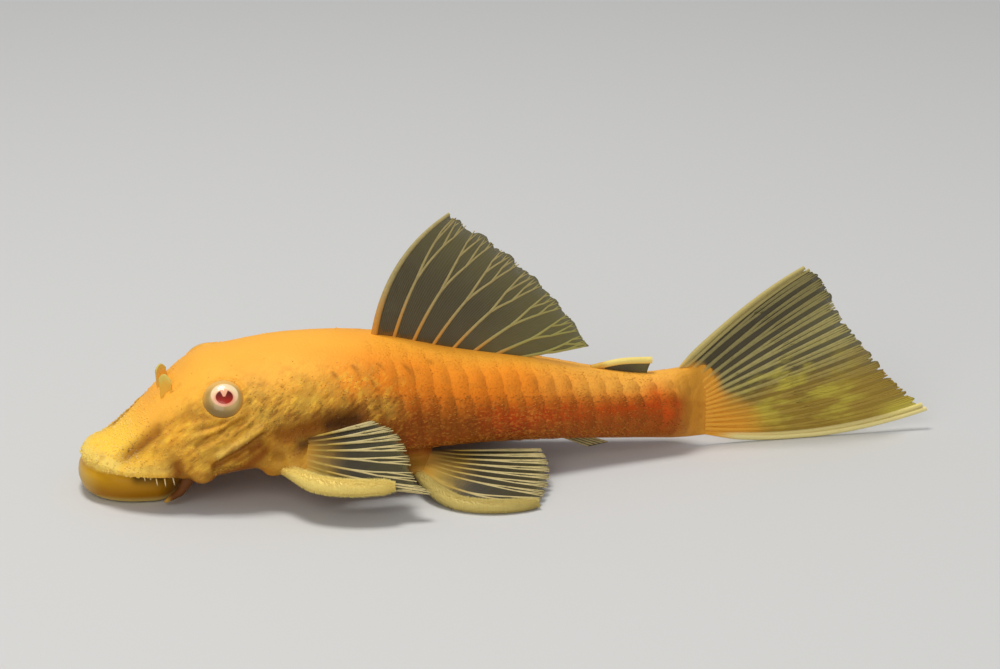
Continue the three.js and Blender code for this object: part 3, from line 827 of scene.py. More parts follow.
def eyeAxes(side):
    top, widest = float(alongBody('top', eye['s'])), float(alongBody('widest', eye['s']))
    wide = float(alongBody('halfWidth', eye['s']))
    rise = (eye['z'] - widest) / (top - widest)
    roundness = body['upperRoundness']
    surface = placed(eye['s'], side * wide * (1 - rise**roundness) ** (1 / roundness), eye['z'])
    lift, forward = math.radians(eye['lift']), math.radians(eye['forward'])
    flat = math.cos(lift)
    out = np.array([-math.sin(forward) * flat, side * math.cos(forward) * flat, math.sin(lift)])
    back = unit(np.cross(np.array([0, 0, 1.0]), out) * side)
    back = back if back[0] > 0 else -back
    up = unit(np.cross(back, out))
    up = up if up[2] > 0 else -up
    return surface, out, back, up


# relief of the face and flanks, carved into the skin: (path, half width, height)
folds = [
    (opercleRidge, 0.52, 0.66), ([(15.6, 12.2, 6.2), (18.0, 12.5, 7.0), (20.2, 12.6, 8.2)], 0.36, 0.40),
    ([(17.2, 12.1, 5.0), (19.8, 12.5, 6.0)], 0.32, 0.26),
    ([(12.4, 9.9, 10.8), (15.2, 10.6, 11.8), (18.3, 11.1, 12.2)], 0.32, 0.20),
    ([(13.2, 11.1, 9.8), (16.9, 11.5, 11.0), (19.8, 11.2, 12.5)], 0.32, 0.26),
    ([(14.6, 11.9, 8.3), (18.1, 12.0, 10.1), (20.7, 11.7, 11.8)], 0.34, 0.32),
    ([(9.0, 9.4, 8.2), (11.6, 10.2, 9.2), (13.6, 10.4, 10.6)], 0.6, 0.34),
    ([(13.4, 7.6, 14.2), (16.0, 7.4, 16.3), (19.4, 7.9, 16.9)], 0.9, 0.12),
    ([(0.9, 1.0, 5.0), (2.4, 4.6, 4.95), (4.7, 8.2, 5.0), (7.6, 10.0, 5.0), (10.6, 11.3, 5.2)], 0.40, 0.26),
    ([(2.4, 2.5, 6.9)], 2.2, 0.16), ([(14.6, 12.0, 5.7)], 1.2, 0.25), ([(4.8, 8.6, 4.9)], 0.5, 0.28),
    ([(22.0, 12.0, 10.7)], 0.5, 0.25),
    (eyeGroove[:3], 1.1, -0.45), (eyeGroove[2:], 0.8, -0.18), (underRidge, 0.38, -0.62),
    (shoulderGroove, 1.2, -0.50), (cheekBack, 0.7, -0.45),
    ([(7.4, 8.6, 3.9), (11.0, 9.2, 4.2)], 0.9, -0.75), ([(11.6, 11.3, 6.4), (12.1, 11.2, 4.6)], 0.8, -0.50),
    (foldGaps[0], 0.27, -0.30), (foldGaps[1], 0.27, -0.36), (foldGaps[2], 0.24, -0.20),
    ([(10.4, 2.4, 12.8)], 0.5, -0.40), ([(12.2, 3.2, 14.1), (12.5, 3.3, 14.5)], 0.42, -0.40),
    ([(29.0, 12.3, 7.4), (34.0, 11.6, 8.0)], 1.6, -0.35),
]


def foldLift(points):
    own = ownSide(points)
    return sum(height * np.exp(-(distanceToPath(own, path) / width) ** 2) for path, width, height in folds)


def eyeLift(points):
    lift = np.zeros(len(points))
    for side in (-1, 1):
        surface, out, back, up = eyeAxes(side)
        d = points - surface
        r, rise = np.hypot(d @ back, d @ up), d @ up
        near = (np.abs(d @ out) < eye['carved']) & (points[:, 1] * side > 0)
        rim = eye['rimHeight'] + eye['browHeight'] * eased(rise, -0.3, 2.2)
        rim = rim * bump(r, eye['rim'], eye['rimWidth'])
        socket = eased(r, eye['rim'] - eye['wallTop'], eye['rim'] - eye['wallFoot'])
        lift += np.where(near, rim - eye['socketDepth'] * socket, 0)
    return lift


softened = pointsOf(skin)
softened = softened + normalsOf(skin) * (foldLift(softened) + eyeLift(softened))[:, None]
softened[:, 2] = np.maximum(softened[:, 2], 0.03)
movePoints(skin, softened)
useModifier(skin, 'SMOOTH', factor=0.35, iterations=1)
# the crease between lip and snout is smoothed once more
creaseZone = {'low': 3.4, 'high': 5.2, 'rear': 5.5}
crease = skin.vertex_groups.new(name='crease')
own = ownSide(pointsOf(skin))
inCrease = (own[:, 2] > creaseZone['low']) & (own[:, 2] < creaseZone['high'])
inCrease = inCrease & (own[:, 0] < creaseZone['rear'])
crease.add([int(k) for k in np.flatnonzero(inCrease)], 1.0, 'REPLACE')
useModifier(skin, 'SMOOTH', factor=0.5, iterations=5, vertex_group='crease')
smoothShaded(skin)
own = ownSide(pointsOf(skin))
# the lips are an oval in plan; each pair is where their colour begins and where it is full
lips = {
    'middle': 8.5, 'halfLength': 8.6, 'halfWidth': 7.9, 'inner': (0.5, 0.7), 'outer': (1.12, 1.04),
    'top': (4.55, 4.05), 'rear': (13.4, 12.0),
    'rimFront': (2.6, -0.2), 'rimTop': (4.4, 3.0), 'rimFoot': (1.4, 0.3),
}
lipPlan = np.hypot((own[:, 0] - lips['middle']) / lips['halfLength'], own[:, 1] / lips['halfWidth'])
lipShare = eased(own[:, 2], *lips['top']) * eased(own[:, 0], *lips['rear'])
lipShare = lipShare * eased(lipPlan, *lips['inner']) * eased(lipPlan, *lips['outer'])
lipFront = 0.5 * eased(own[:, 0], *lips['rimFront']) * eased(own[:, 2], *lips['rimTop'])
lipRim = lipShare * np.maximum(lipFront, eased(own[:, 2], *lips['rimFoot'])) * 0.85
paintMarks(skin, lip=lipShare, lipRim=lipRim)
skinNodes = ('head', 'trunk', 'tail_stem', 'gill_cover_left', 'gill_cover_right', 'mouth_disc')
keep(skin, skinMaterial, skinNodes)
skinPoints, skinNormals = pointsOf(skin), normalsOf(skin)
print('skin carved')


# bony plates of the flanks, five rows a side, each plate lapping the next one back
plates = {
    'first': 31.5, 'last': 82.0, 'length': 2.36, 'overlap': 1.30, 'chevron': 1.3, 'bulge': 0.13,
    'rows': [92, 118, 143, 169, 201, 236],  # turns between the rows, in degrees, 180 is the widest level
    'edge': [0.05, 0.42, 0.72, 0.70, 0.50],  # strength of the painted shade along each row's rear edges
    'lift': [0.35, 0.65, 1.0, 1.0, 0.7],  # and how far they stand up
    'rise': 0.14, 'tuck': -0.17, 'groove': 0.06, 'thick': 0.22,
    'appear': (31, 43), 'appearLater': 4,  # where they rise from the skin, and how much later low down
    'fade': (76, 82), 'sink': (79.5, 83.5),  # where their edges pale, and where they sink at the tail's root
    'ragged': (0.6, 1.1),  # least and most painted shade on an edge, drawn for each plate
    'along': 8, 'perRow': 6,  # points along a plate, and across each row
}


def turnOf(points):
    across, rise = roundShares(points)
    return np.arctan2(rise, across)


def bakePlace(s, turn):
    # an unwrap in the skin's terms, along the body and round it from the belly, for the pieces on the skin
    return np.stack([0.02 + 0.96 * s / 90, np.mod(turn / (2 * math.pi) + 0.25, 1) * 0.96 + 0.02], -1)


def plateSpot(column, degrees, u, side):
    # a point u of the way back along a plate: its place on the body and the painted shade at its rear edge
    rows = np.array(plates['rows'], float)
    row = np.clip(np.searchsorted(rows, degrees, side='right') - 1, 0, len(rows) - 2)
    v = 2 * (degrees - rows[row]) / (rows[row + 1] - rows[row]) - 1
    back = column + plates['overlap'] * u + plates['bulge'] * (1 - v * v) * u
    s = plates['first'] + plates['length'] * back
    s = s + plates['chevron'] * (1 - np.abs(degrees - 180) / 90)
    middles = (rows[1:] + rows[:-1]) / 2
    appear, full = plates['appear']
    front = eased(s, appear + plates['appearLater'] * eased(degrees, 160, 190), full)
    border = eased(np.minimum(degrees - rows[0], rows[-1] - degrees), 0, 7)
    lift = np.interp(degrees, middles, plates['lift'])
    grow = plates['tuck'] - 0.12 * (1 - border) + 0.05 * front
    grow = grow + (plates['rise'] * (0.3 + 0.7 * front) * lift - plates['groove'] * v**6 * front) * u
    grow = grow - 0.30 * eased(s, *plates['sink'])
    fading = front * (1 - 0.8 * eased(s, *plates['fade']))
    dark = eased(u, 0.42, 1.0) * np.interp(degrees, middles, plates['edge'])
    dark = dark * (1 - 0.55 * v**2) * fading
    turn = np.radians(degrees if side < 0 else 180 - degrees)
    return s, turn, grow, dark, front


def onPlates(s, turn, grow):
    point = onBody(s, turn, grow)
    lift = foldLift(point.reshape(-1, 3)).reshape(s.shape)
    return point + bodyNormal(s, turn) * lift[..., None]


def makePlates(side):
    points, faces, maps, edges = [], [], [], []
    rows, m = plates['rows'], plates['perRow']
    n, w = plates['along'], (len(rows) - 1) * m + 1
    degrees = [np.linspace(a, b, m, endpoint=False) for a, b in zip(rows[:-1], rows[1:])]
    degrees = np.concatenate(degrees + [[rows[-1]]])
    u, degrees = np.meshgrid(np.linspace(0, 1, n), degrees, indexing='ij')
    # the points round a plate's border, in order, where its wall goes down
    rim = list(range(w)) + [i * w + w - 1 for i in range(1, n)]
    rim += [(n - 1) * w + j for j in range(w - 2, -1, -1)] + [i * w for i in range(n - 2, 0, -1)]
    for column in range(int((plates['last'] - plates['first']) / plates['length'])):
        s, turn, grow, dark, _ = plateSpot(column, degrees, u, side)
        base, count = len(points), len(rim)
        points.extend(onPlates(s, turn, grow).reshape(-1, 3))
        points.extend(onPlates(s, turn, grow - plates['thick']).reshape(-1, 3)[rim])
        place = bakePlace(s, turn).reshape(-1, 2)
        maps.extend(place)
        maps.extend(place[rim])
        ragged = np.repeat(chance.uniform(*plates['ragged'], len(rows) - 1), m)
        dark = (dark * np.append(ragged, ragged[-1])).ravel()
        edges.extend(dark)
        edges.extend(dark[rim] * 0.8)
        corner = base + (np.arange(n - 1)[:, None] * w + np.arange(w - 1)[None]).ravel()
        faces += np.stack([corner, corner + 1, corner + w + 1, corner + w], -1).tolist()
        under = base + n * w
        for k in range(count):
            after = (k + 1) % count
            faces.append([base + rim[k], base + rim[after], under + after, under + k])
        faces.append([under + k for k in range(count)])
    name = 'flankPlates_' + ('left' if side < 0 else 'right')
    piece = joinedMesh(name, np.array(points), faces, np.array(maps))
    makeActive(piece)
    bpy.ops.object.mode_set(mode='EDIT')
    bpy.ops.mesh.select_all(action='SELECT')
    bpy.ops.mesh.normals_make_consistent(inside=False)
    bpy.ops.object.mode_set(mode='OBJECT')
    bpy.ops.object.shade_smooth_by_angle(angle=math.radians(40))
    # painted shade along the plates' rear edges
    paintMarks(piece, plateEdge=np.array(edges))
    return keep(piece, plateMaterial)


for side in (-1, 1):
    makePlates(side)
print('plates laid')


# bristles and grains (odontodes): small cones and domes, joined by region
bakePatch = 0.0015  # half width of each one's own patch on the baking map


def spikes(name, roots, leans, lengths, widths, maps, sides=4, bulk=None, **marks):
    # bulk is the share of the width kept at half the length, or None for a plain cone
    count = len(roots)
    lengths, widths = np.broadcast_to(lengths, count), np.broadcast_to(widths, count)
    leans = unit(leans)
    helper = np.where(np.abs(leans[:, 2:3]) < 0.9, np.array([[0, 0, 1.0]]), np.array([[1.0, 0, 0]]))
    across = unit(np.cross(leans, helper))
    other = np.cross(leans, across)
    angles = 2 * math.pi * np.arange(sides) / sides
    cosines, sines = np.cos(angles), np.sin(angles)
    ring = cosines[None, :, None] * across[:, None] + sines[None, :, None] * other[:, None]
    levels = [roots[:, None] + ring * widths[:, None, None]]
    if bulk is not None:
        middle = roots + leans * (lengths * 0.55)[:, None]
        levels.append(middle[:, None] + ring * (widths * bulk)[:, None, None])
    tip = (roots + leans * lengths[:, None])[:, None]
    points = np.concatenate(levels + [tip], 1)
    each = points.shape[1]
    patch = np.concatenate([np.stack([cosines, sines], -1)] * len(levels) + [[[0, 0]]])
    places = (maps[:, None] + patch[None] * bakePatch).reshape(-1, 2)
    faces = []
    for start in np.arange(count) * each:
        for level in range(len(levels) - 1):
            a, b = start + level * sides, start + (level + 1) * sides
            faces += [[a + k, a + (k + 1) % sides, b + (k + 1) % sides, b + k] for k in range(sides)]
        last = start + (len(levels) - 1) * sides
        faces += [[last + k, last + (k + 1) % sides, start + each - 1] for k in range(sides)]
        faces.append([start + k for k in range(sides)][::-1])
    piece = joinedMesh(name, points.reshape(-1, 3), faces, places)
    makeActive(piece)
    bpy.ops.object.shade_smooth_by_angle(angle=math.radians(93))
    # each mark grows stronger from root to tip
    rising = np.tile(np.append(np.repeat(np.arange(len(levels)) * 0.5, sides), 1.0), count)
    rising = 0.35 + 0.65 * rising
    paintMarks(piece, **{key: np.repeat(value, each) * rising for key, value in marks.items()})
    return piece


bristles = {
    'count': 13000, 'turns': (100, 230), 'alongPlate': (0.2, 1.0),
    'thinning': (73, 80),  # they thin out over this stretch of s
    # 'bright' and 'stoutBright' are the least and most painted highlight on a bristle
    'length': 0.12, 'longer': (0.8, 1.25), 'width': 0.05, 'lean': 0.30, 'sunk': 0.04, 'bright': (0.15, 0.55),
    'stoutShare': 0.28, 'stoutLength': (0.30, 0.55), 'stoutWidth': 0.085, 'stoutLean': 0.22,
    'stoutSunk': 0.03, 'stoutBright': (0.3, 1.0),
}


def plateBristles(side):
    # short bristles all over the plates, with thicker ones low on the flank; painted highlight lightens each
    # one, the thick ones most
    count = bristles['count']
    columns = int((plates['last'] - plates['first']) / plates['length'])
    degrees = chance.uniform(*bristles['turns'], count)
    u = chance.uniform(*bristles['alongPlate'], count)
    s, turn, grow, _, front = plateSpot(chance.integers(0, columns, count), degrees, u, side)
    grow = grow - 0.4 * (s > chance.uniform(*bristles['thinning'], count))
    low = eased(degrees, 138, 165)
    stout = (chance.uniform(0, 1, count) < bristles['stoutShare']) & (low > 0.3) & (front > 0.3)

    def either(key):
        return np.where(stout, bristles['stout' + key[0].upper() + key[1:]], bristles[key])

    lengths = (bristles['length'] + 0.10 * u + 0.05 * low) * (0.5 + 0.5 * front)
    lengths = lengths * chance.uniform(*bristles['longer'], count)
    lengths = np.where(stout, chance.uniform(*bristles['stoutLength'], count), lengths)
    points = onPlates(s, turn, grow - either('sunk'))
    back = unit(onBody(s + 0.2, turn) - onBody(s, turn))
    leans = back + bodyNormal(s, turn) * either('lean')[:, None]
    # painted highlight on each bristle, weaker high on the flank and towards the tail
    stoutBright = chance.uniform(*bristles['stoutBright'], count)
    bright = np.where(stout, stoutBright, chance.uniform(*bristles['bright'], count))
    bristleHighlights = bright * (0.6 + 0.4 * low) * front * (1 - 0.7 * eased(s, 70, 82))
    name = 'plateBristles_' + ('left' if side < 0 else 'right')
    piece = spikes(name, points, leans, lengths, either('width'), bakePlace(s, turn), keel=bristleHighlights)
    keep(piece, plateMaterial)
    return count


print('plate bristles:', sum(plateBristles(side) for side in (-1, 1)))


# fins
finTones = {
    'dorsalRay': (0.42, 0.34, 0.135),
    'tailRay': (0.40, 0.34, 0.12),
    'sideRay': (0.58, 0.47, 0.21),
    'rayRoot': (0.62, 0.28, 0.035),
    'spine': (0.90, 0.70, 0.20),
    'web': (0.060, 0.050, 0.020),
    'tailMembrane': (0.085, 0.068, 0.030),
    # near-black: the shadow beneath the paired fins, seen through their clear membrane, painted in
    'sideMembrane': (0.022, 0.017, 0.006),
    'webEdge': (0.19, 0.175, 0.065),
    'webRoot': (0.26, 0.11, 0.015),
    'flesh': (0.42, 0.27, 0.030),
    'spineRoot': (0.64, 0.37, 0.050),
    'pelvicSpine': (0.66, 0.52, 0.16),
    'ochre': (0.40, 0.25, 0.028),
    'orange': (0.80, 0.37, 0.035),
    'yellow': (0.58, 0.48, 0.06),
    'cream': (0.80, 0.68, 0.28),
    'tailStreak': (0.18, 0.148, 0.06),
    'tailTop': (0.040, 0.032, 0.014),
    'tailRayTop': (0.13, 0.105, 0.040),
    'tailSpine': (0.56, 0.45, 0.15),
    'sideStreak': (0.14, 0.11, 0.04),
    'webStreak': (0.25, 0.20, 0.075),
    'webRear': (0.165, 0.150, 0.050),
    'dorsalRearRay': (0.36, 0.35, 0.09),
    'fleshMiddle': (0.33, 0.175, 0.017),
    'fleshRear': (0.11, 0.045, 0.004),
    'fleshRoot': (0.60, 0.29, 0.030),
    'ridge': (0.62, 0.42, 0.085),
}


# where the tail fin's markings begin and where they are full, as shares across it from its top edge
# and, for the last five, along it from its root
tailZones = {
    'ochre': (0.42, 0.74), 'bandsTop': (0.34, 0.52), 'bandsLow': (1.0, 0.84), 'tip': (0.86, 0.96),
    'reach': (0.30, 0.90), 'darkTop': (0.36, 0.12), 'topSpine': (0.045, 0.02), 'lowSpine': (0.958, 0.98),
    'bandsRoot': (0.10, 0.28), 'bandsEnd': (0.95, 0.70), 'tipEnd': (0.78, 0.92), 'lowSpineRoot': (0.03, 0.16),
    'root': (0.30, 0.05),
}


def tailColour(paint, plain):
    # the tail fin's own markings: orange root, ochre lower half with yellow blotches, yellow tip
    tones, zones = finTones, tailZones
    across, along = paint.attribute('finAcross'), paint.attribute('finAlong')
    wander = paint.noise(240, 3) - 0.5
    colour = paint.blend(paint.span(across + wander * 0.3, *zones['ochre']) * 0.85, plain, tones['ochre'])
    run = paint.node('ShaderNodeCombineXYZ', None, {0: across * 12.0, 1: along * 5.0})
    bands = paint.span(paint.noise(1.0, 3, run), 0.44, 0.66) * paint.span(across, *zones['bandsTop'])
    bands = bands * paint.span(along, *zones['bandsRoot']) * paint.span(along, *zones['bandsEnd'])
    bands = bands * paint.span(across + wander * 0.2, *zones['bandsLow'])
    colour = paint.blend(bands * 0.85, colour, tones['yellow'])
    tip = paint.span(across, *zones['tip']) * paint.span(along, *zones['tipEnd'])
    colour = paint.blend(tip, colour, tones['yellow'])
    reach = 0.13 + paint.span(across, *zones['reach']) * 0.30
    colour = paint.blend(paint.span(along + wander * 0.16, reach, reach * 0.25), colour, tones['orange'])
    colour = paint.blend(paint.span(across, *zones['topSpine']) * 0.7, colour, tones['tailSpine'])
    lowSpine = paint.span(across, *zones['lowSpine']) * paint.span(along, *zones['lowSpineRoot'])
    return paint.blend(lowSpine, colour, tones['cream'])


sideRayPlaces = (0.11, 0.985, 8)  # first and last ray's share across a paired fin, and their number


def fleshyRoot(paint, across, along):
    # the fleshy first part of a paired fin, with a pale ridge over each ray
    tones = finTones
    colour = paint.blend(paint.span(across, 0.08, 0.50), tones['flesh'], tones['fleshMiddle'])
    colour = paint.blend(paint.span(across, 0.60, 0.95), colour, tones['fleshRear'])
    atRoot = paint.span(along, 0.22, 0.02) * paint.span(across, 0.95, 0.60)
    colour = paint.blend(atRoot, colour, tones['fleshRoot'])
    firstRay, lastRay, count = sideRayPlaces
    turns = (across - firstRay) * (2 * math.pi * (count - 1) / (lastRay - firstRay))
    ridges = paint.span(paint.node('ShaderNodeMath', {'operation': 'COSINE'}, {0: turns}), 0.0, 0.95)
    ridges = ridges * paint.span(along, 0.02, 0.26) * paint.span(along, 0.50, 0.38)
    return paint.blend(ridges * 0.75, colour, tones['ridge'])


def webPaint(name, rays, clear=0.88, rootReach=0.30, root='webRoot', web='web', isTail=False):
    # membrane: dark olive between the rays, warmer and thicker at its root
    tones = finTones
    paint = Paint(name)
    across, along = paint.attribute('finAcross'), paint.attribute('finAlong')
    fine = paint.noise(900, 4)
    outer = 0.15 if root == 'flesh' else 0.5
    colour = paint.blend(paint.span(along, 0.45, 0.95) * outer, tones[web], tones['webEdge'])
    lie = paint.node('ShaderNodeCombineXYZ', None, {0: across * rays * 0.62, 1: along * 0.4})
    streak = paint.node('ShaderNodeTexWave', {'wave_type': 'BANDS', 'bands_direction': 'X'},
                        {'Vector': lie, 'Scale': 5.0, 'Distortion': 1.2, 'Detail': 2.0})
    solid = paint.span(fine, 0.3, 0.7, clear - 0.03, clear + 0.03)
    if isTail:
        colour = paint.blend(streak * 0.35, colour, tones['tailStreak'])
        colour = paint.blend(paint.span(across, *tailZones['darkTop']) * 0.55, colour, tones['tailTop'])
        colour = tailColour(paint, colour)
        rooted = paint.span(along, *tailZones['root'])
        solid = solid + paint.span(across, 0.45, 0.75) * 0.08
    elif root == 'flesh':
        colour = paint.blend(streak * 0.15, colour, tones['sideStreak'])
        colour = paint.blend(paint.span(along, 0.90, 0.99) * 0.6, colour, tones['webEdge'])
        ragged = (fine - 0.5) * 0.14 + (streak - 0.5) * 0.16
        rooted = paint.span(along + ragged, rootReach, rootReach * 0.3)
        colour = paint.blend(rooted, colour, fleshyRoot(paint, across, along))
        solid = solid - paint.span(along, 0.90, 1.0) * 0.55
    else:
        colour = paint.blend(streak * 0.30, colour, tones['webStreak'])
        colour = paint.blend(paint.span(across, 0.45, 0.95) * 0.75, colour, tones['webRear'])
        rooted = paint.span(along + (fine - 0.5) * 0.12, rootReach, rootReach * 0.3)
        colour = paint.blend(rooted * 0.9, colour, tones[root])
    solid = solid + rooted * 0.25 - paint.span(along, 0.86, 1.0) * 0.15
    alpha = paint.node('ShaderNodeMath', {'operation': 'MINIMUM'}, {0: solid, 1: 1.0})
    normal = paint.raised(streak * 0.6 + fine * 0.4, 0.00008, 0.6)
    return paint.finish(colour=colour, roughness=0.40, alpha=alpha, normal=normal, specular=0.25)


def darker(tone, share):
    return tuple(share * part for part in tone)


def rayPaint(name, root, tip, rootEnd=0.25, fade=0.2, mottled=0.4, isTail=False, rear=None, hatch=0.0):
    # rays and spines: the root's colour gives way to the tip's, with fine mottling and hatching
    paint = Paint(name)
    across, along = paint.attribute('finAcross'), paint.attribute('finAlong')
    fine = paint.noise(1500, 3)
    colour = paint.blend(paint.span(fine, 0.35, 0.75) * mottled, tip, darker(tip, 0.6))
    if rear:
        colour = paint.blend(paint.span(across, 0.45, 0.95) * 0.8, colour, rear)
    if hatch:
        run = paint.node('ShaderNodeCombineXYZ', None, {0: along * 150, 1: across * 2})
        hatched = paint.span(paint.noise(1.0, 3, run), 0.42, 0.68) * hatch
        colour = paint.blend(hatched, colour, darker(tip, 0.45))
    if isTail:
        colour = paint.blend(paint.span(across, *tailZones['darkTop']) * 0.45, colour, finTones['tailRayTop'])
        colour = tailColour(paint, colour)
    else:
        colour = paint.blend(paint.span(along + (fine - 0.5) * 0.12, rootEnd, rootEnd * fade), colour, root)
    normal = paint.raised(paint.span(paint.noise(2600, 1), 0.4, 0.6), 0.00005, 0.4)
    return paint.finish(colour=colour, roughness=0.46, normal=normal, specular=0.25)


def margined(surface, rays, scallop, wear, notches=()):
    # the free edge sags between the rays and is a little worn; notches are (place, width, depth)
    torn = chance.uniform(-1, 1, 64)
    tornAt = np.linspace(0, 1, len(torn))

    def worn(a, b):
        back = scallop * np.sin(math.pi * rays * a) ** 2
        back = back + wear * np.interp(a, tornAt, torn) ** 2
        for place, width, depth in notches:
            back = back + depth * bump(a, place, width)
        return surface(a, b * (1 - back))

    return worn


def makeWeb(name, surface, material, nodes, columns=120, rows=36, thick=0.10):
    piece = shapedGrid(name, columns, rows, surface)
    flat = np.array([(c / columns, r / rows) for r in range(rows + 1) for c in range(columns + 1)])
    mark(piece, 'finAcross', flat[:, 0])
    mark(piece, 'finAlong', flat[:, 1])
    useModifier(piece, 'SOLIDIFY', thickness=thick * mm, offset=0)
    smoothShaded(piece)
    return keep(piece, material, nodes)


def makeThickWeb(name, surface, material, nodes, columns=96, rows=40, root=0.95, thin=0.12, fade=0.36):
    # both faces of a membrane that thickens to a fleshy root
    def place(u, v):
        b, nudge = 1 - np.abs(2 * v - 1), 0.01
        alongA = surface(np.clip(u + nudge, 0, 1), b) - surface(np.clip(u - nudge, 0, 1), b)
        alongB = surface(u, np.minimum(b + nudge, 1)) - surface(u, np.maximum(b - nudge, 0))
        edge = np.sqrt(np.clip(24 * np.minimum(u, 1 - u), 0, 1))
        half = mixed(root, thin, eased(b, 0, fade) ** 0.7) / 2 * edge * np.where(v < 0.5, 1, -1)
        return surface(u, b) + unit(np.cross(alongA, alongB)) * half[:, None]

    piece = shapedGrid(name, columns, 2 * rows, place)
    flat = np.array([(c / columns, r / (2 * rows)) for r in range(2 * rows + 1) for c in range(columns + 1)])
    mark(piece, 'finAcross', flat[:, 0])
    mark(piece, 'finAlong', 1 - np.abs(2 * flat[:, 1] - 1))
    closeUp(piece)
    smoothShaded(piece)
    return keep(piece, material, nodes)


rodFlatness = 0.85  # depth of a ray or spine over its width


def rods(paths, sides=6):
    # paths: (points, radii, flat direction, share along the fin, share across it)
    points, faces, along, beside = [], [], [], []
    turns = 2 * math.pi * np.arange(sides) / sides
    cosines, sines = np.cos(turns), np.sin(turns)
    for path, radii, flat, share, across in paths:
        tangent = unit(np.gradient(path, axis=0))
        wide = unit(np.cross(flat, tangent))
        deep = np.cross(tangent, wide)
        ring = cosines[None, :, None] * wide[:, None] + rodFlatness * sines[None, :, None] * deep[:, None]
        base, steps = len(points), len(path)
        points.extend((path[:, None] + ring * radii[:, None, None]).reshape(-1, 3))
        along.extend(np.repeat(share, sides))
        beside.extend(np.repeat(np.broadcast_to(across, steps), sides))
        for k in range(steps - 1):
            a, b = base + k * sides, base + (k + 1) * sides
            faces += [[a + i, a + (i + 1) % sides, b + (i + 1) % sides, b + i] for i in range(sides)]
        faces.append([base + i for i in range(sides)][::-1])
        faces.append([base + (steps - 1) * sides + i for i in range(sides)])
    return np.array(points), faces, np.array(along), np.array(beside)


# how a soft ray grows, as shares of its length or of its radius
rayGrowth = {
    'jitter': 0.04, 'tuck': 0.015, 'neck': 0.7,  # a branch starts inside the ray it leaves, a little thinner
    'curve': 1.15, 'taper': 0.22, 'branchSize': 0.80, 'rootSize': 0.52, 'rootLength': 0.40, 'steps': 24,
}


def rayPaths(surface, places, spacing, radius, forks, spreads, reach=1.0, starts=(0.0, 0.0)):
    # soft rays that fork on their way to the margin; places are their shares across the fin
    paths = []
    grow = rayGrowth

    def branch(at, level, start, shift, size):
        end = reach
        if level < len(forks):
            end = forks[level] + chance.uniform(-grow['jitter'], grow['jitter'])
        t = np.linspace(start, end, max(5, int(grow['steps'] * (end - start)) + 2))
        if level:
            t = np.append(start - grow['tuck'], t)
        run = np.maximum((t - start) / (end - start), 0)
        a = np.clip(at + shift * run**grow['curve'], 0.004, 0.996)
        path = surface(a, t)
        nearA = surface(np.clip(a + 0.01, 0, 1), t) - surface(np.clip(a - 0.01, 0, 1), t)
        flat = unit(np.cross(nearA, np.gradient(path, axis=0)))
        radii = size * (1 - grow['taper'] * run) * (1 - 0.5 * eased(t, 0.9, 1.02))
        if level:
            radii[0] *= grow['neck']
        if level == 0 and start > 0:
            radii = radii * mixed(grow['rootSize'], 1, eased(t, start, start + grow['rootLength']))
        paths.append((path, radii, flat, t, a))
        if level < len(forks):
            for way in (-1, 1):
                branch(a[-1], level + 1, end, way * spreads[level] * spacing, size * grow['branchSize'])

    for at in places:
        branch(at, 0, mixed(*starts, at), 0.0, radius)
    return paths


def makeRods(name, paths, material, nodes=(), sides=6):
    points, faces, along, beside = rods(paths, sides)
    piece = joinedMesh(name, points, faces)
    makeActive(piece)
    bpy.ops.object.shade_smooth_by_angle(angle=math.radians(75))
    mark(piece, 'finAlong', along)
    mark(piece, 'finAcross', beside)
    return keep(piece, material, nodes)


def stoutSpine(path, radii, across=0.0, facing=(0, 1, 0)):
    return path, radii, np.tile(np.array(facing, float), (len(path), 1)), np.linspace(0, 1, len(path)), across


# each fin's soft rays: radius, where they fork, how far the branches part, in gaps, and where they end
softRays = {
    'dorsal': {'radius': 0.27, 'forks': (0.50, 0.74, 0.90), 'spreads': (0.19, 0.105, 0.055), 'reach': 0.985},
    'tail': {'radius': 0.36, 'forks': (0.24, 0.52), 'spreads': (0.17, 0.10), 'reach': 0.985},
    'anal': {'radius': 0.16, 'forks': (0.6,), 'spreads': (0.2,)},
    'side': {'radius': 0.25, 'forks': (0.46, 0.74), 'spreads': (0.17, 0.11), 'reach': 0.99},
}
dorsalWeb = webPaint('dorsalWeb', rays=8, rootReach=0.10)
tailWeb = webPaint('tailWeb', rays=14, clear=0.90, web='tailMembrane', isTail=True)
# the paired fins' membrane is painted near-black with the shadow beneath them
sideWeb = webPaint('sideWeb', rays=9, clear=0.97, rootReach=0.46, root='flesh', web='sideMembrane')
dorsalRays = rayPaint('dorsalRays', finTones['rayRoot'], finTones['dorsalRay'], rootEnd=0.42, fade=0.05,
                      rear=finTones['dorsalRearRay'])
tailRays = rayPaint('tailRays', finTones['orange'], finTones['tailRay'], isTail=True)
sideRays = rayPaint('sideRays', finTones['flesh'], finTones['sideRay'], rootEnd=0.58, fade=0.42)
spineLook = {'rootEnd': 0.34, 'fade': 0.4, 'mottled': 0.06, 'hatch': 0.20}
spinePaint = rayPaint('bristlySpine', finTones['spineRoot'], finTones['spine'], **spineLook)
pelvicPaint = rayPaint('pelvicSpine', finTones['spineRoot'], finTones['pelvicSpine'], **spineLook)
spineSteps = np.linspace(0, 1, 26)

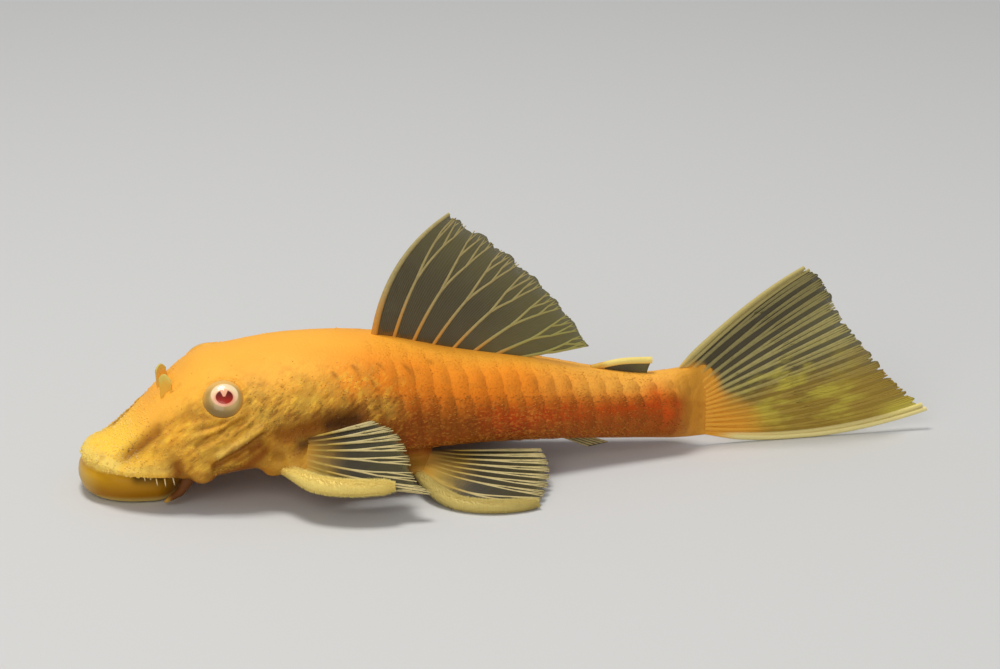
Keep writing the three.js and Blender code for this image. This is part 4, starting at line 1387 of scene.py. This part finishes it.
n = dorsal['rays']
dorsalEdge = margined(dorsalSurface, n, scallop=0.022, wear=0.03)
makeWeb('dorsalWeb', dorsalEdge, dorsalWeb, ('dorsal_fin',))
spinePath = dorsalSurface(np.zeros(len(spineSteps)), spineSteps)
places = [k / n for k in range(1, n)] + [0.985]
dorsalRods = [stoutSpine(spinePath, 0.46 - 0.24 * spineSteps)]
dorsalRods += rayPaths(dorsalSurface, places, 1 / n, **softRays['dorsal'])
makeRods('dorsalRays', dorsalRods, dorsalRays, ('dorsal_fin',), sides=8)

tailNotches = [(0.02, 0.02, 0.012), (0.27, 0.018, 0.045), (0.36, 0.012, 0.03)]  # (place, width, depth)
# the simple rays along the edges: (place across the fin, radius at the root, radius at the end)
tailSpines = [(0.0, 0.46, 0.28), (0.030, 0.32, 0.2), (0.972, 0.34, 0.34), (1.0, 0.46, 0.34)]
tailCount, tailGap = 14, 1 / 15.3
tailEdge = margined(tailSurface, tailCount, scallop=0.015, wear=0.05, notches=tailNotches)
makeWeb('tailWeb', tailEdge, tailWeb, ('tail_fin',), columns=150, rows=44)
places = [(k + 1.0) * tailGap for k in range(tailCount)]
tailRods = rayPaths(tailSurface, places, tailGap, **softRays['tail'])
for edge, root, end in tailSpines:
    path = tailSurface(np.full(len(spineSteps), edge), spineSteps)
    radii = (root + (end - root) * spineSteps) * (0.3 + 0.7 * eased(spineSteps, 0, 0.16))
    path[:, 2] = np.maximum(path[:, 2], 0.05 + rodFlatness * radii)
    tailRods.append(stoutSpine(path, radii, edge))
makeRods('tailRays', tailRods, tailRays, ('tail_fin',))

adiposeSpine = [(67.4, 11.9), (71.5, 12.5), (75.6, 12.4)]
makeWeb('adiposeWeb', adiposeSurface, dorsalWeb, ('adipose_fin',), columns=24, rows=10)
path = curveThrough([(snoutX + s, 0, z) for s, z in adiposeSpine])(spineSteps)
makeRods('adiposeSpine', [stoutSpine(path, 0.42 + 0.06 * spineSteps)], spinePaint, ('adipose_fin',), sides=10)
makeWeb('analWeb', analSurface, dorsalWeb, ('anal_fin',), columns=24, rows=16)
places = [0.02, 0.25, 0.5, 0.75, 0.98]
analRods = rayPaths(analSurface, places, 1 / len(places), **softRays['anal'])
makeRods('analRays', analRods, sideRays, ('anal_fin',))

# the bristles that stand all round the paired fins' spines and lean to the tip
spineBristles = {
    'count': 4200, 'goldenTurn': 2.399963, 'from': 0.06, 'jitter': 3, 'turnJitter': 0.10, 'sunk': 0.93,
    'out': 0.95, 'forward': 0.42, 'length': (0.22, 0.40), 'growth': (0.65, 0.7), 'width': 0.05,
    'floor': 0.04,  # tips lower than this are turned up
    'room': 0.14,  # the spine is this much thinner than the solid, to leave room for them
}


def makeSpineBristles(name, path, t, radii, paint):
    hair = spineBristles
    count = hair['count']
    order, jitter = np.arange(count), hair['jitter']
    at = (order + chance.uniform(-jitter, jitter, count) + jitter + 0.5) / (count + 2 * jitter)
    at = hair['from'] + (1 - hair['from']) * at
    turn = np.mod(order * hair['goldenTurn'] + chance.normal(0, hair['turnJitter'], count), 2 * math.pi)
    centre = np.stack([np.interp(at, t, path[:, k]) for k in range(3)], -1)
    tangent = unit(np.stack([np.interp(at, t, np.gradient(path[:, k])) for k in range(3)], -1))
    wide = unit(np.cross(np.array([[0, 0, 1.0]]), tangent))
    out = np.cos(turn)[:, None] * wide + np.sin(turn)[:, None] * np.cross(tangent, wide)
    roots = centre + out * np.interp(at, t, radii)[:, None] * hair['sunk']
    lean = out * hair['out'] + tangent * hair['forward']
    least, more = hair['growth']
    lengths = chance.uniform(*hair['length'], count) * (least + more * at)
    low = (roots + unit(lean) * lengths[:, None])[:, 2] < hair['floor']
    lean[low, 2] = np.maximum(lean[low, 2], 0.05)
    maps = np.stack([0.02 + 0.96 * at, 0.02 + 0.96 * turn / (2 * math.pi)], -1)
    piece = spikes(name, roots, lean, lengths, hair['width'], maps)
    mark(piece, 'finAlong', np.repeat(at, 5))  # each has five points
    keep(piece, paint)


# the paired fins: gaps between their rays, and where the first and the last ray leave the flesh
sideFins = {
    'pectoral': {'form': pectoral, 'paint': spinePaint, 'gaps': 8, 'starts': (0.08, 0.14)},
    'pelvic': {'form': pelvic, 'paint': pelvicPaint, 'gaps': 8, 'starts': (0.08, 0.10)},
}


def pairedFin(finName, side, word):
    own = sideFins[finName]
    fin, paint, gaps = own['form'], own['paint'], own['gaps']
    surface, node = pairedSurface(fin, side), f'{finName}_fin_{word}'
    edged = margined(surface, gaps, scallop=0.03, wear=0.03)
    makeThickWeb(f'{finName}Web_{word}', edged, sideWeb, (node,))
    places = np.linspace(*sideRayPlaces)
    paths = rayPaths(surface, places, 1 / gaps, starts=own['starts'], **softRays['side'])
    makeRods(f'{finName}Rays_{word}', paths, sideRays, (node,))
    least, swell, start, reach = fin['radius']
    t = np.linspace(0, 1, 48)
    points = [np.array([snoutX + s, side * y, z]) for s, y, z in [fin['root']] + fin['spine']]
    path = curveThrough(points, True)(t)
    radii = least + swell * np.sin(math.pi * np.minimum(1, start + reach * t)) - spineBristles['room']
    radii = radii * (1 - 0.45 * eased(t, 0.92, 1.0))  # a rounded end
    radii = radii * (0.62 + 0.38 * eased(t, 0.16, 0.50))  # and a slimmer root, inside the flesh
    path[:, 2] = np.maximum(path[:, 2], radii * rodFlatness + 0.12)
    spine = stoutSpine(path, radii, facing=(0, 0, 1))
    makeRods(f'{finName}Spine_{word}', [spine], paint, (node,), sides=18)
    makeSpineBristles(f'{finName}Bristles_{word}', path, t, radii, paint)


for side, word in ((-1, 'left'), (1, 'right')):
    pairedFin('pectoral', side, word)
    pairedFin('pelvic', side, word)
print('fins made')


# eyes
# the width of the plane that the colours are laid out on, and where each ring begins and is full, in mm
eyeRings = {
    'plane': 10, 'ball': (1.5, 2.6), 'iris': (1.80, 1.62), 'pupilRim': (1.38, 1.14), 'pupil': (1.14, 1.04),
}
eyeTones = {
    'ball': [(0.0, (0.54, 0.37, 0.14)), (0.4, (0.41, 0.26, 0.078)), (0.8, (0.46, 0.26, 0.055)),
             (1.0, (0.66, 0.34, 0.05))],  # from the iris outwards
    'shade': (0.19, 0.115, 0.030),
    'brow': (0.85, 0.50, 0.13),
    'irisLow': (0.80, 0.38, 0.22),
    'irisHigh': (0.90, 0.72, 0.43),
    'irisFleck': (0.74, 0.36, 0.20),
    'pupilRim': (0.78, 0.25, 0.14),
    'pupilLow': (0.42, 0.018, 0.006),
    'pupilHigh': (0.10, 0.008, 0.004),
}


def eyePaint():
    # painted on the plane of the eye, u to the rear and v up, in millimetres from its middle
    tones, rings = eyeTones, eyeRings
    paint = Paint('wetEye')
    plane = paint.node('ShaderNodeUVMap', {'uv_map': 'eyePlane'})
    u, v = (paint.part(plane, axis) * rings['plane'] - rings['plane'] / 2 for axis in (0, 1))

    def ringOf(du, dv, stretch=1.0):
        return ((u - du) ** 2 + ((v - dv) * stretch) ** 2) ** 0.5

    iris, pupil = ringOf(0.05, 0.36, 1.10), ringOf(0.03, 0.06, 1.18)
    colour = paint.ramp(paint.span(ringOf(0, 0), *rings['ball']), tones['ball'])
    colour = paint.blend(paint.span(v + u * 0.4, -0.5, -2.3) * 0.8, colour, tones['shade'])
    colour = paint.blend(paint.span(v, 0.6, 2.2) * 0.75, colour, tones['brow'])
    cream = paint.blend(paint.span(v, -1.3, 1.3), tones['irisLow'], tones['irisHigh'])
    cream = paint.blend(paint.span(paint.noise(2400, 3), 0.4, 0.7) * 0.22, cream, tones['irisFleck'])
    colour = paint.blend(paint.span(iris, *rings['iris']), colour, cream)
    colour = paint.blend(paint.span(pupil, *rings['pupilRim']) * 0.6, colour, tones['pupilRim'])
    # a pleco's pupil has a notch that widens upwards, which the iris fills
    beside = paint.node('ShaderNodeMath', {'operation': 'ABSOLUTE'}, {0: u})
    wall = paint.node('ShaderNodeMath', {'operation': 'MAXIMUM'}, {0: v * 0.42 + 0.10, 1: 0.0})
    inNotch = paint.span(beside - wall, 0.05, -0.05) * paint.span(v, 0.02, 0.16)
    inPupil = paint.span(pupil, *rings['pupil']) * (1 - inNotch)
    red = paint.blend(paint.span(v, -1.0, 0.8), tones['pupilLow'], tones['pupilHigh'])
    colour = paint.blend(inPupil, colour, red)
    return paint.finish(colour=colour, roughness=0.3, coat=0.4, coatRoughness=0.05, specular=0.2)


eyeMaterial = eyePaint()


def makeEye(side, word):
    surface, out, back, up = eyeAxes(side)
    centre = surface - out * eye['sunk']
    deselectAll()
    bpy.ops.mesh.primitive_uv_sphere_add(segments=96, ring_count=64, radius=1)
    piece = bpy.context.object
    piece.name = piece.data.name = f'eyeball_{word}'
    ball = pointsOf(piece) * mm
    points = centre + (ball[:, 0:1] * back + ball[:, 1:2] * up) * eye['halfAcross']
    movePoints(piece, points + ball[:, 2:3] * out * eye['halfOut'])
    closeUp(piece)
    while piece.data.uv_layers:
        piece.data.uv_layers.remove(piece.data.uv_layers[0])
    d = pointsOf(piece) - centre
    places = np.stack([d @ back, d @ up], -1) / eyeRings['plane'] + 0.5
    corners = np.empty(len(piece.data.loops), int)
    piece.data.loops.foreach_get('vertex_index', corners)
    piece.data.uv_layers.new(name='eyePlane').data.foreach_set('uv', places[corners].ravel())
    smoothShaded(piece)
    keep(piece, eyeMaterial, (f'eye_{word}',))


for side, word in ((-1, 'left'), (1, 'right')):
    makeEye(side, word)
print('eyes made')


# nostril flaps, feelers, mouth bristles and the grains of the face
nostril = {
    's': 11.4, 'offset': 2.1, 'height': 2.1, 'width': 1.6, 'rootDepth': 1.0, 'slant': math.pi / 3,
    'lean': 0.2, 'cup': 0.5, 'rounding': 0.35, 'thick': 0.24,
    'tip': (0.72, 0.58, 0.13), 'root': (0.86, 0.50, 0.065), 'clear': 0.85,
}
feeler = {
    'path': [(13.2, 9.0, 4.2), (12.1, 8.9, 2.3), (10.1, 8.1, 0.62)],  # s, y, z
    # the near-black root is painted shade under the head; the pale tip is the feeler's own colour
    'radius': 1.12, 'taper': 0.86, 'root': (0.13, 0.038, 0.003), 'tip': (0.62, 0.34, 0.05),
}


def flapMaterial():
    # thin and a little see-through at the tip
    paint = Paint('nostrilFlap')
    along = paint.attribute('finAlong')
    colour = paint.blend(paint.span(along, 1.0, 0.55), nostril['tip'], nostril['root'])
    solid = paint.span(along, 0.20, 0.75, 0.95, nostril['clear'])
    return paint.finish(colour=colour, roughness=0.35, alpha=solid, specular=0.15)


def flapSurface(side):
    tipTop = float(alongBody('top', nostril['s'])) + nostril['height']

    def surface(a, b):
        across = 2 * a - 1
        reach = nostril['width'] / 2 * across
        y = side * (nostril['offset'] + reach * math.cos(nostril['slant']))
        s = nostril['s'] + reach * math.sin(nostril['slant'])
        root = placed(s, y, alongBody('top', s) - nostril['rootDepth'])
        tip = placed(s - nostril['lean'], y, tipTop - nostril['height'] * nostril['rounding'] * across**2)
        return bowed(root, tip, np.array([0, side * nostril['cup'], 0]), b)

    return surface


flapPaint = flapMaterial()
feelerPaint = rayPaint('feeler', feeler['root'], feeler['tip'], rootEnd=1.0, fade=0.72)
for side, word in ((-1, 'left'), (1, 'right')):
    flapNode, feelerNode = f'nostril_flap_{word}', f'barbel_{word}'
    makeWeb(f'nostrilFlap_{word}', flapSurface(side), flapPaint, (flapNode,),
            columns=18, rows=20, thick=nostril['thick'])
    path = curveThrough([(snoutX + s, side * y, z) for s, y, z in feeler['path']])(spineSteps)
    radii = feeler['radius'] - feeler['taper'] * spineSteps**0.8
    radii = radii * np.sqrt(1 - eased(spineSteps, 0.9, 1.04) ** 2)
    feelerRod = stoutSpine(path, radii, facing=(1, 0, 0))
    makeRods(f'feeler_{word}', [feelerRod], feelerPaint, (feelerNode,), sides=14)

# (s, y, z, length) of the pale bristles that hang from the snout's edge over the corner of the mouth
mouthBristles = [
    (7.5, 9.4, 4.7, 0.65), (8.9, 10.1, 4.6, 1.1), (9.9, 10.5, 4.7, 1.25), (10.9, 10.9, 4.9, 1.15),
    (8.2, 9.8, 4.6, 0.3),
]
for side, word in ((-1, 'left'), (1, 'right')):
    roots = np.array([(snoutX + s, side * y, z) for s, y, z, _ in mouthBristles])
    lengths = [row[3] for row in mouthBristles]
    leans = np.array([0.10, 0.10 * side, -1.0]) + chance.normal(0, 0.07, (len(roots), 3))
    maps = bakePlace(roots[:, 0] - snoutX, turnOf(roots))
    shades = np.full(len(roots), 0.75)
    name = f'mouthBristles_{word}'
    piece = spikes(name, roots, leans, lengths, 0.105, maps, sides=7, bulk=0.75, pale=shades)
    keep(piece, plateMaterial)

cheekBrush = {
    'count': 64, 's': (15.4, 19.6), 'y': 12.1, 'foot': 5.1, 'height': 1.4, 'slope': 0.28, 'slopeFrom': 15.6,
    # the last pair is the least and most painted highlight on a bristle
    'length': (0.35, 0.7), 'width': 0.06, 'glow': (0.1, 0.8),
}


def cheekBristles(side, word):
    # a small brush of bristles below the gill cover, which lies flat in a calm fish
    brush = cheekBrush
    count = brush['count']
    s, drop = chance.uniform(*brush['s'], count), chance.uniform(0, 1, count)
    out = side * (brush['y'] + 0.35 * bump(s, 19, 3))
    roots = placed(s, out, brush['foot'] + brush['height'] * drop + brush['slope'] * (s - brush['slopeFrom']))
    rise = chance.normal(0.1, 0.14, count)
    leans = np.stack([np.full(count, 1.0), np.full(count, 0.35 * side), rise], -1)
    # each bristle gets a random share of painted highlight
    lengths, shine = chance.uniform(*brush['length'], count), chance.uniform(*brush['glow'], count)
    maps = bakePlace(s, turnOf(roots))
    name, width = f'cheekBristles_{word}', brush['width']
    piece = spikes(name, roots, leans, lengths, width, maps, sides=5, bulk=0.7, glow=shine)
    keep(piece, plateMaterial)


faceGrain = {
    'onSnout': 0.50, 'onCheek': 0.46, 'elsewhere': 0.20, 'onCrown': 0.10,  # how thickly they stand
    'kept': 0.6,  # and the share of that which is made
    # where each part lies, in s, z, distance from the middle plane, or as the share of the way up the side
    'snoutEnd': 9, 'low': 0.36, 'cheek': (0.40, 0.76), 'crown': (0.74, 0.86), 'crownFrom': (10, 14),
    'rear': (44, 33), 'foot': (4.2, 4.7), 'farthest': 13.2, 'eyeRing': 2.7,
    'coarse': 0.15, 'fine': 0.12, 'coarseEnd': 7, 'sizes': (0.7, 1.25), 'height': 1.55,
    # the last pair is the least and most painted highlight on a grain
    'sunk': (0.8, 1.12), 'sunkFrom': (7, 13), 'glow': (0.1, 0.6),
}


def faceGrains(side, word):
    # rounded grains: coarse on the snout, fine on cheek and shoulder, hardly any on the smooth crown
    grain = faceGrain
    own = ownSide(skinPoints)
    s, z, share = own[:, 0], own[:, 2], backShare(skinPoints)
    ahead = s < grain['snoutEnd']
    wanted = np.where(ahead, grain['onSnout'], grain['elsewhere']) * (share > grain['low'])
    cheekLow, cheekHigh = grain['cheek']
    onCheek = (s > grain['snoutEnd']) & (share < cheekHigh)
    wanted = np.where(onCheek, grain['onCheek'] * (share > cheekLow), wanted)
    onCrown = eased(share, *grain['crown']) * eased(s, *grain['crownFrom'])
    wanted = wanted * mixed(1.0, grain['onCrown'], onCrown)
    wanted = wanted * eased(s, *grain['rear']) * eased(z, *grain['foot'])
    wanted = wanted * (1 - markingShare(skinPoints, 'flesh')) * (own[:, 1] < grain['farthest'])
    for way in (-1, 1):
        surface = eyeAxes(way)[0]
        wanted = np.where(np.linalg.norm(skinPoints - surface, axis=1) < grain['eyeRing'], 0, wanted)
    picked = (chance.uniform(0, 1, len(own)) < wanted * grain['kept']) & (skinPoints[:, 1] * side >= 0)
    roots, normals = skinPoints[picked], skinNormals[picked]
    s, count = s[picked], len(roots)
    coarse = s < grain['coarseEnd']
    size = np.where(coarse, grain['coarse'], grain['fine']) * chance.uniform(*grain['sizes'], count)
    sunk = size * mixed(*grain['sunk'], eased(s, *grain['sunkFrom']))
    roots = roots + chance.normal(0, 0.05, roots.shape) - normals * sunk[:, None]
    lean = normals + np.array([0.35, 0, 0]) * eased(s, 5, 12)[:, None]
    tint = chance.uniform(0, 1, count) ** 2 * np.where(coarse, 0.25, 0.06)
    # each grain gets a random share of painted highlight
    shine, maps = chance.uniform(*grain['glow'], count), bakePlace(s, turnOf(roots))
    name, height = f'faceGrains_{word}', size * grain['height']
    return spikes(name, roots, lean, height, size, maps, sides=5, bulk=0.88, pale=tint, glow=shine)


for side, word in ((-1, 'left'), (1, 'right')):
    cheekBristles(side, word)
    grains = keep(faceGrains(side, word), plateMaterial)
    print('face grains:', len(grains.data.vertices) // 11)  # each has eleven points


# floor, light and camera
studio = {'floor': (0.62, 0.62, 0.61), 'size': 3.0, 'air': (0.92, 0.94, 1.0, 1), 'airStrength': 0.34}
deselectAll()
bpy.ops.mesh.primitive_plane_add(size=studio['size'], location=(0, 0, 0))
floor = bpy.context.object
floor.name = 'studioFloor'
give(floor, Paint('paleFloor').finish(colour=studio['floor'], roughness=0.7, specular=0.2))

world = bpy.data.worlds.new('studioAir')
bpy.context.scene.world = world
world.use_nodes = True
air = world.node_tree.nodes['Background']
air.inputs['Color'].default_value = studio['air']
air.inputs['Strength'].default_value = studio['airStrength']


def aimed(place, target):
    # the turn of a light or camera at a place that looks at a target
    return (Vector(target) - Vector(place)).to_track_quat('-Z', 'Y').to_euler()


lights = {
    'keyLight': {'place': (-0.10, 0.03, 0.62), 'size': 0.20, 'power': 2.5, 'colour': (1, 0.98, 0.94)},
    'fillLight': {'place': (-0.30, -0.58, 0.34), 'size': 0.45, 'power': 1.9, 'colour': (1, 0.98, 0.95)},
}
for name, light in lights.items():
    lamp = bpy.data.lights.new(name, 'AREA')
    lamp.size, lamp.energy, lamp.color = light['size'], light['power'], light['colour']
    holder = bpy.data.objects.new(name, lamp)
    bpy.context.scene.collection.objects.link(holder)
    holder.location = light['place']
    holder.rotation_euler = aimed(light['place'], (0, 0, 0.01))

view = {'position': (-0.09078, -0.41862, 0.15636), 'target': (-0.0018, 0, 0.0173), 'lens': 124.74}
camera = bpy.data.objects.new('photoCamera', bpy.data.cameras.new('photoCamera'))
bpy.context.scene.collection.objects.link(camera)
camera.location = view['position']
camera.rotation_euler = aimed(view['position'], view['target'])
camera.data.lens, camera.data.sensor_width, camera.data.sensor_fit = view['lens'], 36, 'HORIZONTAL'
camera.data.clip_start, camera.data.clip_end = 0.01, 10
bpy.context.scene.camera = camera
bpy.context.scene.view_settings.view_transform = 'Standard'

total = sum(len(p.data.loop_triangles) for p in pieces if p.data.calc_loop_triangles() is None)
print('triangles:', total, 'largest:', max((len(p.data.loop_triangles), p.name) for p in pieces))
